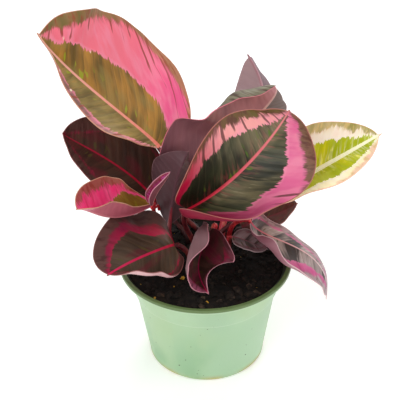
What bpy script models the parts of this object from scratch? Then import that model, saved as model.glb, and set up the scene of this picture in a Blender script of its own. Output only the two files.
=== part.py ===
# Potted calathea: a young rose-painted calathea in a squat green nursery pot.
# Metres, +Z up, origin at the middle of the pot's base, the viewer on the -Y side.
# Sizes below are in millimetres and degrees, and MM turns them into metres.
import math

import bmesh
import bpy
from mathutils import Vector

MM = 0.001
MERGE = 0.0001
GAP = 0.3
COLLECTION = "potted_calathea"

# Pot: outer radii and heights from the lip down to the foot
POT_HEIGHT = 69.3
LIP_RADIUS = 54.0
LIP_DEPTH = 2.8
LIP_ROUND = 0.6
LIP_WIDTH = 2.6
COLLAR_RADIUS = 50.5
STEP_HEIGHT = 50.0
STEP_RADIUS = 45.6
STEP_IN = 1.0
FOOT_HEIGHT = 3.0
FOOT_RADIUS = 37.5
BASE_RADIUS = 36.5
WALL = 1.2
FLOOR = 1.8
POT_SIDES = 48
DRAIN_HOLES = 5
DRAIN_RADIUS = 3.5
DRAIN_CIRCLE = 23.0

# Soil: a low crumbly mound that nearly fills the pot, up to the underside of the lip
SOIL_EDGE_HEIGHT = 65.0
SOIL_RISE = 1.8
SOIL_LUMP = 0.5
SOIL_RINGS = 5
HOLE_DEPTH = 6.0
HOLE_PLAY = 0.45
HOLE_SIDES = 12

# Leaves: blade thickness, edge waves, and widths as shares of the widest. The oval body
# would close at BODY_END, and from TIP_START a short hollow-sided tip takes over.
# A half's roll begins at ROLL_START of its width, and a slim half starts at SLIM_BASE.
# Rows beyond the STEADY shares keep those rows' heading, halves narrower than FULL_BEND
# bend less, and leaves narrower than SMALL_HALF get a thinner rib and fewer faces.
BLADE = 0.72
RIB_THICKNESS = 1.5
WAVE_SHARE = 0.018
WAVES = 3.5
WAVE_FADE = 0.15
END_WIDTH = 0.045
TIP_TAPER = 0.035
BODY_END = 0.97
TIP_START = 0.86
TIP_WIDTH = 0.16
TIP_HOLLOW = 1.25
ROLL_START = 0.6
SLIM_BASE = 0.2
SMALL_HALF = 26
STEADY = (0.05, 0.9)
FULL_BEND = 16.0

# Stems: how far they rise and arrive straight, as shares of their height, how they lean
# as they arrive, the step between points, and the thicker joint that meets the rib
STEM_RISE = 0.38
STEM_ARRIVE = 0.33
STEM_LEAN = 0.6
STEM_LIFT = 0.4
STEM_GAP = 0.4
STEM_STEP = 7.0
JOINT_END = 2.4
JOINT_LENGTH = 9.0
JOINT_SWELL = 1.15
END_TAPER = 0.8

# Each leaf: rib is four points the midrib runs through, base to tip. face is where the
# upper side looks at even steps along the rib, as heading from +X and lift from level.
# half is the width left and right of the rib, outline its skew and fullness, and slim the
# share of the rib over which a half widens slowly. fold is how far each half lifts from
# the rib, curl how much it goes on bending outwards, and roll turns the outer part over,
# each for the left and the right half, base to tip.
# lead is the way the stem arrives, root where it leaves the soil, stem its two radii.
LEAVES = {
    "01": dict(  # tall painted leaf, upper left
        rib=((-27, 24, 135), (-45, 28, 152), (-73.5, 22, 184.5), (-90, 4, 219)),
        face=((-53, 53), (-56, 48), (-65, 56)),
        half=(31, 59.5), outline=(0.74, 0.58), slim=(0.5, 0),
        fold=((14, 34, 25, 34), (5, 6, 4, 6, 13, 33, 27)),
        curl=((2, -2), (-17, -10)),
        lead=(-0.25, -0.45, 0.85), root=(-14, 31), stem=(1.9, 1.5)),
    "02": dict(  # dark leaf, far left
        rib=((-31, 32, 91), (-52, 29, 118), (-74, 25, 137), (-84, 17, 150)),
        face=((-94, 44), (-93, 46), (-94, 46)),
        half=(23, 25), outline=(0.74, 0.62),
        fold=((19, 25, 27), (10, 9, 10)),
        curl=((6, 11), (-1, -2)),
        root=(-11, 20), stem=(1.7, 1.3)),
    "03": dict(  # cupped pink leaf on the left
        rib=((-33, 6, 105), (-53, -8, 106), (-65, -20, 117), (-73, -32, 127)),
        face=((-68, 68), (-93, 78), (-60, 69)),
        half=(13, 24), outline=(0.85, 0.6),
        fold=((78, 81, 42), (41, 41, 20)),
        curl=((-18, -20), (35, 28)),
        lead=(0.3, -0.6, 0.7), root=(-26, 14), stem=(1.5, 1.1)),
    "04": dict(  # broad dark leaf over the front left of the lip
        rib=((-19, -13, 88), (-28.5, -18, 88), (-43, -28, 87.5), (-57, -47, 91)),
        face=((-103, 70), (-114, 74), (-97, 71), (-110, 67)),
        half=(28, 33), outline=(0.89, 0.45),
        fold=((-9, -17, 2, 13), (30, 0, 11, -7)),
        curl=((19, 17), (5, 21)), roll=((66, 68, 37), (0, 0)),
        root=(-9, -7), stem=(1.8, 1.4)),
    "05": dict(  # large painted leaf in the middle, facing the viewer
        rib=((-10, -11, 112), (19, -12, 136), (39, -7, 158), (48, -12, 177)),
        face=((-68, 26), (-89, 45), (-88, 36)),
        half=(33, 40), outline=(0.71, 0.48),
        fold=((36, 30, 20, 17), (80, 20, -8, -5)),
        curl=((24, 12), (45, 24)), roll=((0, 0), (104, 8, 16)),
        lead=(0.2, -0.1, 0.95), root=(-6, 4), stem=(1.8, 1.4)),
    "06": dict(  # lime leaf on the right
        rib=((37, 25, 94), (58, 18, 112), (80, 9, 133), (104, 2, 154)),
        face=((-106, 69), (-90, 65), (-104, 56)),
        half=(30, 32), outline=(0.85, 0.6),
        fold=((16, 21, 8), (29, 30, 13)),
        curl=((6, 2), (21, 0)),
        root=(5, 12), stem=(1.8, 1.4)),
    "07": dict(  # back leaf, seen from below
        rib=((28, 67, 92), (38, 74, 120), (40, 77, 145), (29, 77, 173)),
        face=((66, 17), (80, 9), (94, 12)),
        half=(24, 26), outline=(0.87, 0.61),
        fold=((50, 70, 89), (37, 32, 28)),
        curl=((8, 30), (3, -6)),
        lead=(0.25, 0.6, 0.4), root=(10.5, 21), stem=(2.3, 1.5)),
    "08": dict(  # large plum leaf behind the middle, its right edge rolled over
        rib=((-12, 19, 98), (12, 28, 129), (36, 31, 155.5), (44, 37, 168)),
        face=((80, 6), (97, 19), (92, 14), (99, 23)),
        half=(38, 43.5), outline=(0.87, 0.55),
        fold=((22, 25, 32, 27), (9, 2, 8, -18, 0, -8, -25)),
        curl=((5, 8), (-5, -28)), roll=((0, 0), (0, 0, 0, 0, -101, -148, -148)),
        root=(-1, 20), stem=(1.8, 1.4)),
    "09": dict(  # upright plum leaf, middle left
        rib=((-22, 6, 91), (-18, 9, 114), (-14, 10, 128), (-9, 16, 137)),
        face=((89, 19), (92, 20), (97, 20)),
        half=(20, 20), outline=(0.87, 0.62),
        fold=((35, 35, 35), (47, 44, 39)),
        curl=((0, 0), (8, 4)),
        root=(-19.5, 4), stem=(1.7, 1.4)),
    "10": dict(  # folded leaf hanging at the front
        rib=((4, -9, 97), (-3, -25, 89), (-4, -34, 81.5), (1.5, -44, 74)),
        face=((-145, 65), (-85, 70), (-80, 53), (-79, 65)),
        half=(24.5, 33.5), outline=(0.88, 0.7),
        fold=((19, 35, 92), (47, 42, 27)),
        curl=((8, -9, 15, 19), (128, 121, 65, 22)),
        root=(2, -1), stem=(1.5, 1.2)),
    "11": dict(  # long leaf drooping over the right of the lip
        rib=((28, -6, 99), (44, -7, 87), (66, -13, 76), (75, -18, 48)),
        face=((-93, 55), (-98, 77), (-14, 83), (76, 85)),
        half=(23, 29), outline=(0.84, 0.62),
        fold=((-16, -22, -13), (26, -10, -2)),
        curl=((-9, -9, -4, -1), (58, 59, 22, 13)), roll=((0, 0), (67, 41, 11)),
        lead=(0.75, -0.5, 0.4), root=(15, 12), stem=(1.7, 1.4)),
    "12": dict(  # low dark leaf at the back right
        rib=((24, 26, 74), (37, 30, 77), (50, 31, 82), (60, 29, 90)),
        face=((-90, 59), (-95, 76), (-92, 70)),
        half=(15, 16), outline=(0.86, 0.62),
        fold=((3, -3, -1), (14, 17, 19)),
        curl=((-7, -9), (4, 6)),
        root=(20, 25), stem=(1.4, 1.1)),
    "13": dict(  # small leaf low on the right
        rib=((17, 2, 83), (24, 0, 82), (31, -1, 79), (39, -2, 76)),
        face=((-75, 70), (-66, 77), (-73, 70)),
        half=(9, 9), outline=(0.86, 0.62),
        fold=((8, 7, 9), (10, 13, 11)),
        curl=((-2, -1), (1, 1)),
        lead=(0.2, -0.1, 0.9), root=(16, 3), stem=(1.2, 0.9)),
    "14": dict(  # young leaf still rolled, off the stem of leaf 03
        rib=((-31.5, -4, 111.5), (-28.5, -5.5, 120), (-24, -6.5, 128), (-20, -7, 136)),
        face=((-125, 33), (-121, 31), (-125, 33)),
        half=(7, 7), outline=(0.86, 0.62),
        fold=((50, 60, 49), (70, 88, 75)),
        curl=((7, 8), (5, 8)),
        lead=(-0.15, -0.5, 0.9), start=(-28.2, 10.4, 98.5), stem=(0.9, 0.8)),
    "15": dict(  # low dark leaf behind the stems
        rib=((-8, 41, 72), (-8, 46, 86), (-6, 50, 100), (-2, 54, 112)),
        face=((-90, 40), (-92, 44), (-95, 46)),
        half=(20, 16), outline=(0.7, 0.45),
        fold=((12, 14, 12), (10, 12, 10)),
        curl=((4, 6), (6, 4)),
        root=(-5, 36), stem=(1.4, 1.1)),
}

# Finishes: colour, roughness
COLOURS = {
    "pot_green": ((0.38, 0.62, 0.40), 0.45),
    "soil": ((0.045, 0.030, 0.022), 0.95),
    "leaf_rose": ((0.72, 0.20, 0.32), 0.38),
    "leaf_dark": ((0.09, 0.06, 0.045), 0.40),
    "leaf_lime": ((0.48, 0.52, 0.06), 0.40),
    "leaf_plum": ((0.24, 0.10, 0.13), 0.55),
    "stem_red": ((0.55, 0.11, 0.09), 0.45),
}
ROSE_LEAVES = ("01", "03", "05", "14")
LIME_LEAVES = ("06",)
PLUM_LEAVES = ("07", "08", "09")


def clear_scene():
    for thing in list(bpy.data.objects):
        bpy.data.objects.remove(thing, do_unlink=True)


def new_collection(name):
    collection = bpy.data.collections.new(name)
    bpy.context.scene.collection.children.link(collection)
    return collection


def make_material(name):
    colour, roughness = COLOURS[name]
    material = bpy.data.materials.new(name)
    material.use_nodes = True
    shader = material.node_tree.nodes["Principled BSDF"]
    shader.inputs["Base Color"].default_value = (*colour, 1.0)
    shader.inputs["Roughness"].default_value = roughness
    shader.inputs["Metallic"].default_value = 0.0
    material.diffuse_color = (*colour, 1.0)
    return material


def add_object(name, data, collection, material=None):
    thing = bpy.data.objects.new(name, data)
    collection.objects.link(thing)
    if material:
        data.materials.append(material)
    return thing


def shade_round(mesh):
    mesh.shade_smooth()
    mesh.set_sharp_from_angle(angle=math.radians(35))


# Turned pieces

def turned(name, profile, collection, material):
    """A closed half section, listed from its top outer end down, turned about Z."""
    mesh = bpy.data.meshes.new(name)
    points = [(radius * MM, 0.0, height * MM) for radius, height in profile]
    mesh.from_pydata(points, [(i, i + 1) for i in range(len(points) - 1)], [])
    thing = add_object(name, mesh, collection, material)
    screw = thing.modifiers.new("turn", "SCREW")
    screw.angle = math.radians(360)
    screw.steps = POT_SIDES
    screw.render_steps = POT_SIDES
    screw.use_merge_vertices = True
    screw.merge_threshold = MERGE
    return thing


def applied(thing):
    """Puts the shape its modifiers make into the object's own mesh."""
    shape = thing.evaluated_get(bpy.context.evaluated_depsgraph_get())
    mesh = bpy.data.meshes.new_from_object(shape)
    thing.modifiers.clear()
    thing.data = mesh
    return mesh


def wall_radius(height):
    """Outer radius of the pot's wall below the lip."""
    if height >= STEP_HEIGHT:
        top = POT_HEIGHT - LIP_DEPTH
        share = (height - STEP_HEIGHT) / (top - STEP_HEIGHT)
        return STEP_RADIUS + (COLLAR_RADIUS - STEP_RADIUS) * share
    low = STEP_RADIUS - STEP_IN
    share = (height - FOOT_HEIGHT) / (STEP_HEIGHT - FOOT_HEIGHT)
    return FOOT_RADIUS + (low - FOOT_RADIUS) * share


def pot_profile():
    under_lip = POT_HEIGHT - LIP_DEPTH
    below_step = STEP_HEIGHT - STEP_IN
    outer = [
        (LIP_RADIUS - 2 * LIP_ROUND, POT_HEIGHT),
        (LIP_RADIUS - LIP_ROUND, POT_HEIGHT - 0.3 * LIP_ROUND),
        (LIP_RADIUS, POT_HEIGHT - LIP_ROUND),
        (LIP_RADIUS, under_lip),
        (COLLAR_RADIUS, under_lip),
        (STEP_RADIUS, STEP_HEIGHT),
        (wall_radius(below_step), below_step),
        (FOOT_RADIUS, FOOT_HEIGHT),
        (BASE_RADIUS, 0),
        (0, 0)]
    inner = [
        (0, FLOOR),
        (FOOT_RADIUS - WALL, FLOOR),
        (FOOT_RADIUS - WALL, FOOT_HEIGHT),
        (wall_radius(below_step) - WALL, below_step),
        (STEP_RADIUS - WALL, STEP_HEIGHT),
        (COLLAR_RADIUS - WALL, under_lip),
        (LIP_RADIUS - LIP_WIDTH, POT_HEIGHT)]
    return outer + inner + outer[:1]


def drain_cutter(collection):
    mesh = bpy.data.meshes.new("drain_cutter")
    shape = bmesh.new()
    for index in range(DRAIN_HOLES):
        turn = 2 * math.pi * index / DRAIN_HOLES
        ring = bmesh.ops.create_cone(
            shape, cap_ends=True, segments=HOLE_SIDES, depth=4 * FLOOR * MM,
            radius1=DRAIN_RADIUS * MM, radius2=DRAIN_RADIUS * MM)
        place = Vector((math.cos(turn), math.sin(turn), 0)) * DRAIN_CIRCLE * MM
        bmesh.ops.translate(shape, verts=ring["verts"], vec=place)
    shape.to_mesh(mesh)
    shape.free()
    return as_cutter(add_object("drain_cutter", mesh, collection))


def as_cutter(thing):
    thing.hide_render = True
    thing.display_type = "WIRE"
    return thing


def cut(thing, cutter):
    boolean = thing.modifiers.new("holes", "BOOLEAN")
    boolean.operation = "DIFFERENCE"
    boolean.solver = "EXACT"
    boolean.object = cutter


def make_pot(collection, cutters):
    pot = turned("pot", pot_profile(), collection, make_material("pot_green"))
    shade_round(applied(pot))
    cut(pot, drain_cutter(cutters))
    return pot


# Soil

def soil_height(x, y):
    """Height of the soil's surface: a low mound with soft lumps that fade at the wall."""
    reach = min(1.0, math.hypot(x, y) / soil_radius(SOIL_EDGE_HEIGHT))
    mound = SOIL_RISE * (1 - reach ** 2)
    lumps = math.sin(0.31 * x + 1.0) * math.cos(0.27 * y) + 0.6 * math.sin(0.52 * y - 0.2 * x)
    return SOIL_EDGE_HEIGHT + mound + SOIL_LUMP * lumps * (1 - reach ** 4)


def soil_radius(height):
    return wall_radius(height) - WALL - GAP


def soil_profile():
    edge = soil_radius(SOIL_EDGE_HEIGHT)
    top = [(edge * (index / SOIL_RINGS), SOIL_EDGE_HEIGHT) for index in range(SOIL_RINGS + 1)]
    below_step = STEP_HEIGHT - STEP_IN
    return top + [
        (soil_radius(STEP_HEIGHT), STEP_HEIGHT),
        (soil_radius(below_step), below_step),
        (FOOT_RADIUS - WALL - GAP, FOOT_HEIGHT),
        (FOOT_RADIUS - WALL - GAP, FLOOR + GAP),
        (0, FLOOR + GAP)]


def stem_cutter(collection):
    """A plain upright hole for every stem that stands in the soil."""
    mesh = bpy.data.meshes.new("stem_cutter")
    shape = bmesh.new()
    for leaf in LEAVES.values():
        if "root" not in leaf:
            continue
        x, y = leaf["root"]
        top = soil_height(x, y) + HOLE_DEPTH
        bottom = soil_height(x, y) - HOLE_DEPTH
        radius = leaf["stem"][0] + HOLE_PLAY
        ring = bmesh.ops.create_cone(
            shape, cap_ends=True, segments=HOLE_SIDES, depth=(top - bottom) * MM,
            radius1=radius * MM, radius2=radius * MM)
        place = Vector((x, y, (top + bottom) / 2)) * MM
        bmesh.ops.translate(shape, verts=ring["verts"], vec=place)
    shape.to_mesh(mesh)
    shape.free()
    return as_cutter(add_object("stem_cutter", mesh, collection))


def make_soil(collection, cutters):
    soil = turned("soil", soil_profile(), collection, make_material("soil"))
    mesh = applied(soil)
    shape = bmesh.new()
    shape.from_mesh(mesh)
    for vertex in shape.verts:
        if vertex.co.z > (SOIL_EDGE_HEIGHT - GAP) * MM:
            vertex.co.z = soil_height(vertex.co.x / MM, vertex.co.y / MM) * MM
    bmesh.ops.triangulate(shape, faces=shape.faces)
    shape.to_mesh(mesh)
    shape.free()
    shade_round(mesh)
    cut(soil, stem_cutter(cutters))
    return soil


# Leaf surface

def eased(values, share):
    """Value at a share of the way along, eased between evenly spaced values."""
    place = min(max(share, 0.0), 1.0) * (len(values) - 1)
    index = min(int(place), len(values) - 2)
    part = place - index
    part = part * part * (3 - 2 * part)
    return values[index] * (1 - part) + values[index + 1] * part


def direction(heading, lift):
    heading, lift = math.radians(heading), math.radians(lift)
    level = math.cos(lift)
    return Vector((level * math.cos(heading), level * math.sin(heading), math.sin(lift)))


def rib_controls(points):
    """Bezier controls of the cubic that passes four points at equal shares."""
    a, b, c, d = (Vector(point) for point in points)
    return a, (18 * b - 5 * a - 9 * c + 2 * d) / 6, (2 * a - 9 * b + 18 * c - 5 * d) / 6, d


def curve_point(controls, share):
    a, b, c, d = controls
    rest = 1 - share
    return (a * rest ** 3 + b * (3 * rest ** 2 * share)
            + c * (3 * rest * share ** 2) + d * share ** 3)


def curve_heading(controls, share):
    a, b, c, d = controls
    rest = 1 - share
    slope = (b - a) * rest ** 2 + (c - b) * (2 * rest * share) + (d - c) * share ** 2
    return slope.normalized()


def outline(share, skew, full):
    """Half width as a share of the widest: an oval body that ends in a short point."""
    body = max(0.0, math.sin(math.pi * min(share / BODY_END, 1.0) ** skew)) ** full
    if share > TIP_START:
        left = (1 - share) / (1 - TIP_START)
        body = max(body, TIP_WIDTH * left ** TIP_HOLLOW)
    return max(body, END_WIDTH - TIP_TAPER * share)


def half_width(leaf, share, side):
    """Width of one half, which a slim half reaches only at its slim share of the rib."""
    width = leaf["half"][side] * outline(share, *leaf["outline"])
    slim = leaf["slim"][side] if "slim" in leaf else 0.0
    if share < slim:
        width *= eased((SLIM_BASE, 1.0), share / slim)
    return width


def row_shares(leaf, rows):
    """Shares of the rib at even steps round the blade's wider edge."""
    fine = 400
    controls = rib_controls(leaf["rib"])
    wide = max(leaf["half"])
    spots = []
    for index in range(fine + 1):
        share = index / fine
        spots.append((curve_point(controls, share), wide * outline(share, *leaf["outline"])))
    run = [0.0]
    for (here, width), (ahead, next_width) in zip(spots, spots[1:]):
        run.append(run[-1] + math.hypot((ahead - here).length, next_width - width))
    shares = []
    index = 0
    for row in range(rows + 1):
        while index < fine and run[index] < run[-1] * row / rows:
            index += 1
        shares.append(index / fine)
    return shares


def row_frame(leaf, share):
    """Rib point, across to the right and up from the upper face, at a share of the rib."""
    controls = rib_controls(leaf["rib"])
    steady = min(max(share, STEADY[0]), STEADY[1])
    along = curve_heading(controls, steady)
    face = eased([direction(*look) for look in leaf["face"]], steady)
    face = (face - along * face.dot(along)).normalized()
    return curve_point(controls, share), along.cross(face), face


def half_row(leaf, share, side, columns):
    """Upper and under points across one half of the blade, from the rib to the edge."""
    rib, across, face = row_frame(leaf, share)
    across = across if side else -across
    width = half_width(leaf, share, side)
    fold = math.radians(eased(leaf["fold"][side], share))
    bend = math.radians(min(1.0, width / FULL_BEND))
    curl = bend * eased(leaf["curl"][side], share)
    roll = bend * eased(leaf["roll"][side], share) if "roll" in leaf else 0.0
    wave = leaf["half"][side] * WAVE_SHARE * math.sin(2 * math.pi * WAVES * share + 2 * side)
    wave *= min(1.0, share / WAVE_FADE, (1 - share) / WAVE_FADE)
    out = up = 0.0
    fine = 4
    step = 1 / (columns * fine)
    points = []
    for index in range(columns * fine):
        reach = (index + 0.5) * step
        slope = fold + curl * reach + roll * max(0.0, (reach - ROLL_START) / (1 - ROLL_START))
        out += math.cos(slope) * step
        up += math.sin(slope) * step
        if (index + 1) % fine == 0:
            lift = up * width + wave * (reach + 0.5 * step) ** 2
            upper = rib + across * out * width + face * lift
            outward = face * math.cos(slope) - across * math.sin(slope)
            points.append((upper, upper - outward * BLADE))
    return points


def blade_rows(leaf, rows, columns):
    grid = []
    for share in row_shares(leaf, rows):
        left = half_row(leaf, share, 0, columns)
        right = half_row(leaf, share, 1, columns)
        rib, _, face = row_frame(leaf, share)
        depth = BLADE + (rib_thickness(leaf) - BLADE) * (1 - share)
        grid.append(left[::-1] + [(rib, rib - face * depth)] + right)
    return grid


def rib_thickness(leaf):
    return BLADE + (RIB_THICKNESS - BLADE) * min(1.0, max(leaf["half"]) / SMALL_HALF)


def make_leaf(number, leaf, collection, material):
    """A bent sheet of even triangles, extruded to its underside and closed at the tip."""
    small = max(leaf["half"]) < SMALL_HALF
    rows, columns = (13, 3) if small else (18, 4)
    grid = blade_rows(leaf, rows, columns)
    mesh = bpy.data.meshes.new("leaf_" + number)
    shape = bmesh.new()
    bmesh.ops.create_grid(shape, x_segments=2 * columns, y_segments=rows, size=1)
    bmesh.ops.triangulate(shape, faces=shape.faces, quad_method="FIXED")
    under = list(shape.verts)
    sheet = bmesh.ops.extrude_face_region(shape, geom=shape.faces[:])["geom"]
    upper = [vertex for vertex in sheet if isinstance(vertex, bmesh.types.BMVert)]
    for layer, vertices in enumerate((upper, under)):
        tip = []
        for vertex in vertices:
            column = round((vertex.co.x + 1) * columns)
            row = round((vertex.co.y + 1) / 2 * rows)
            vertex.co = grid[row][column][layer] * MM
            if row == rows:
                tip.append(vertex)
        bmesh.ops.pointmerge(shape, verts=tip, merge_co=grid[rows][columns][layer] * MM)
    shape.to_mesh(mesh)
    shape.free()
    shade_round(mesh)
    return add_object("leaf_" + number, mesh, collection, material)


# Stems

def rib_foot(leaf):
    """Middle of the blade's thickness where its rib begins, and the rib's heading there."""
    rib, across, face = row_frame(leaf, 0.0)
    return rib - face * (rib_thickness(leaf) / 2), face.cross(across)


def stem_controls(leaf):
    """A curve that rises upright from the soil and arrives just short of the rib."""
    foot, along = rib_foot(leaf)
    if "root" in leaf:
        x, y = leaf["root"]
        start = Vector((x, y, soil_height(x, y) + 1))
    else:
        start = Vector(leaf["start"])
    arrive = STEM_LEAN * along + Vector((0, 0, STEM_LIFT))
    if "lead" in leaf:
        arrive = Vector(leaf["lead"])
    end = foot - along * (STEM_GAP + JOINT_END)
    height = (end - start).length
    return (start, start + Vector((0, 0, STEM_RISE * height)),
            end - arrive.normalized() * STEM_ARRIVE * height, end)


def stem_points(leaf):
    controls = stem_controls(leaf)
    length = sum((curve_point(controls, (i + 1) / 20) - curve_point(controls, i / 20)).length
                 for i in range(20))
    steps = max(4, round(length / STEM_STEP))
    low, high = leaf["stem"]
    points = []
    if "root" in leaf:
        x, y = leaf["root"]
        foot = soil_height(x, y) - HOLE_DEPTH + GAP
        points.append((Vector((x, y, foot)), low))
    for index in range(steps + 1):
        share = index / steps
        radius = low + (high - low) * share
        if (1 - share) * length < JOINT_LENGTH:
            radius = high * JOINT_SWELL
        points.append((curve_point(controls, share), radius))
    foot, along = rib_foot(leaf)
    points.append((foot - along * STEM_GAP, END_TAPER * high))
    return points


def make_stem(number, leaf, collection, material):
    points = stem_points(leaf)
    curve = bpy.data.curves.new("stem_" + number, "CURVE")
    curve.dimensions = "3D"
    curve.bevel_depth = MM
    curve.bevel_resolution = 1 if leaf["stem"][0] < 1.6 else 2
    curve.use_fill_caps = True
    line = curve.splines.new("POLY")
    line.points.add(len(points) - 1)
    for target, (place, radius) in zip(line.points, points):
        target.co = (*(place * MM), 1.0)
        target.radius = radius
    return add_object("stem_" + number, curve, collection, material)


def leaf_finish(number):
    if number in ROSE_LEAVES:
        return "leaf_rose"
    if number in LIME_LEAVES:
        return "leaf_lime"
    return "leaf_plum" if number in PLUM_LEAVES else "leaf_dark"


def main():
    clear_scene()
    parts = new_collection(COLLECTION)
    cutters = new_collection("cutters")
    make_pot(parts, cutters)
    make_soil(parts, cutters)
    for number, leaf in LEAVES.items():
        make_leaf(number, leaf, parts, make_material(leaf_finish(number)))
        make_stem(number, leaf, parts, make_material("stem_red"))


main()
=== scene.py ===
# %% [markdown]
# # Potted calathea
# A young rose-painted calathea stands in a squat, pale green nursery pot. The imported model
# gives its main shapes. This lesson dresses them: every blade, stem, the pot and the soil
# get a finer piece with its own finish, in the places the model gives.

import math
import random

import bpy
from mathutils import Matrix, Vector, noise


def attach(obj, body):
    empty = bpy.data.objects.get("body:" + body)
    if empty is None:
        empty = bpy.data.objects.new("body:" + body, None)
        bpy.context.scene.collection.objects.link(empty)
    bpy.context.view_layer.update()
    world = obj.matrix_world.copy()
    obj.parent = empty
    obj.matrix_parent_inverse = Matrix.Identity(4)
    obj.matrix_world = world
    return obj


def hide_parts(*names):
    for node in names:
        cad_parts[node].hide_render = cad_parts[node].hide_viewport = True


MM = 0.001
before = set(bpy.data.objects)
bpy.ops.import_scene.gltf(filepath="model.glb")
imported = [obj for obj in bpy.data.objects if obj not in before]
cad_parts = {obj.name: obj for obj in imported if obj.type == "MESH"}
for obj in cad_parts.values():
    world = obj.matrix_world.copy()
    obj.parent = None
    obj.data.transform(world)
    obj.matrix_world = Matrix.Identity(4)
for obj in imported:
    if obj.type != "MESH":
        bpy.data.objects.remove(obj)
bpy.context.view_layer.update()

# %% [markdown]
# The picture was taken from a little above the plant, looking down by about a third of a
# right angle. A wide lens from close by would make the pot's sides lean in, so the camera
# stands back more than half a metre and its view is narrow.

# %% Camera
CAMERA_PLACE = Vector((-2.7, -481.2, 413.4)) * MM
CAMERA_AIM = Vector((-2.7, 0.0, 111.6)) * MM
CAMERA_VIEW = 24.0
CAMERA_ROLL = -1.05

camera_data = bpy.data.cameras.new("camera")
camera_data.sensor_width = 36.0
camera_data.angle = math.radians(CAMERA_VIEW)
camera = bpy.data.objects.new("camera", camera_data)
bpy.context.scene.collection.objects.link(camera)
look = (CAMERA_AIM - CAMERA_PLACE).to_track_quat("-Z", "Y").to_matrix().to_4x4()
roll = Matrix.Rotation(math.radians(CAMERA_ROLL), 4, "Z")
camera.matrix_world = Matrix.Translation(CAMERA_PLACE) @ look @ roll
bpy.context.scene.camera = camera
print("camera lens", round(camera_data.lens, 1), "mm")

# %% [markdown]
# The studio is plain: a pale floor, an even white surround and three broad lamps. The
# surround fills every shadow, the high lamp in front shapes the leaves, a weaker one at the
# right softens that side, and the one behind lights the edges and backs of the leaves. A
# sun lamp would throw hard shadows, so the lamps are large discs.

# %% Lights
SURROUND = 0.52
LAMPS = {
    "front_lamp": dict(place=(-0.7, -1.0, 1.5), size=1.4, power=14.0),
    "side_lamp": dict(place=(1.3, -0.3, 0.9), size=1.0, power=4.0),
    "back_lamp": dict(place=(0.4, 1.1, 1.1), size=1.0, power=9.0),
}

world = bpy.data.worlds.new("surround")
world.use_nodes = True
world.node_tree.nodes["Background"].inputs["Color"].default_value = (1, 1, 1, 1)
world.node_tree.nodes["Background"].inputs["Strength"].default_value = SURROUND
bpy.context.scene.world = world

for name, lamp in LAMPS.items():
    bpy.ops.object.light_add(type="AREA", location=lamp["place"])
    light = bpy.context.object
    light.name = name
    light.data.shape = "DISK"
    light.data.size = lamp["size"]
    light.data.energy = lamp["power"]
    aim = CAMERA_AIM - Vector(lamp["place"])
    light.rotation_euler = aim.to_track_quat("-Z", "Y").to_euler()
print(len(LAMPS), "lamps")

# %% [markdown]
# Each finish is a tree of shader nodes. A small bench of helpers keeps the trees readable:
# it adds a node, does sums, stretches noise along a direction and mixes colours. Colours
# are written as a picker shows them, from 0 to 255, and turned into the linear values that
# the shader needs.

# %% Helpers for finishes
# a Mix node has the same socket names for numbers and colours, so these count sockets
MIX_FIRST = 6
MIX_SECOND = 7
MIX_RESULT = 2


def paint(red, green, blue):
    """A colour as a picker shows it, turned into linear values."""
    linear = []
    for part in (red / 255, green / 255, blue / 255):
        linear.append(part / 12.92 if part <= 0.04045 else ((part + 0.055) / 1.055) ** 2.4)
    return (*linear, 1.0)


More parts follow.
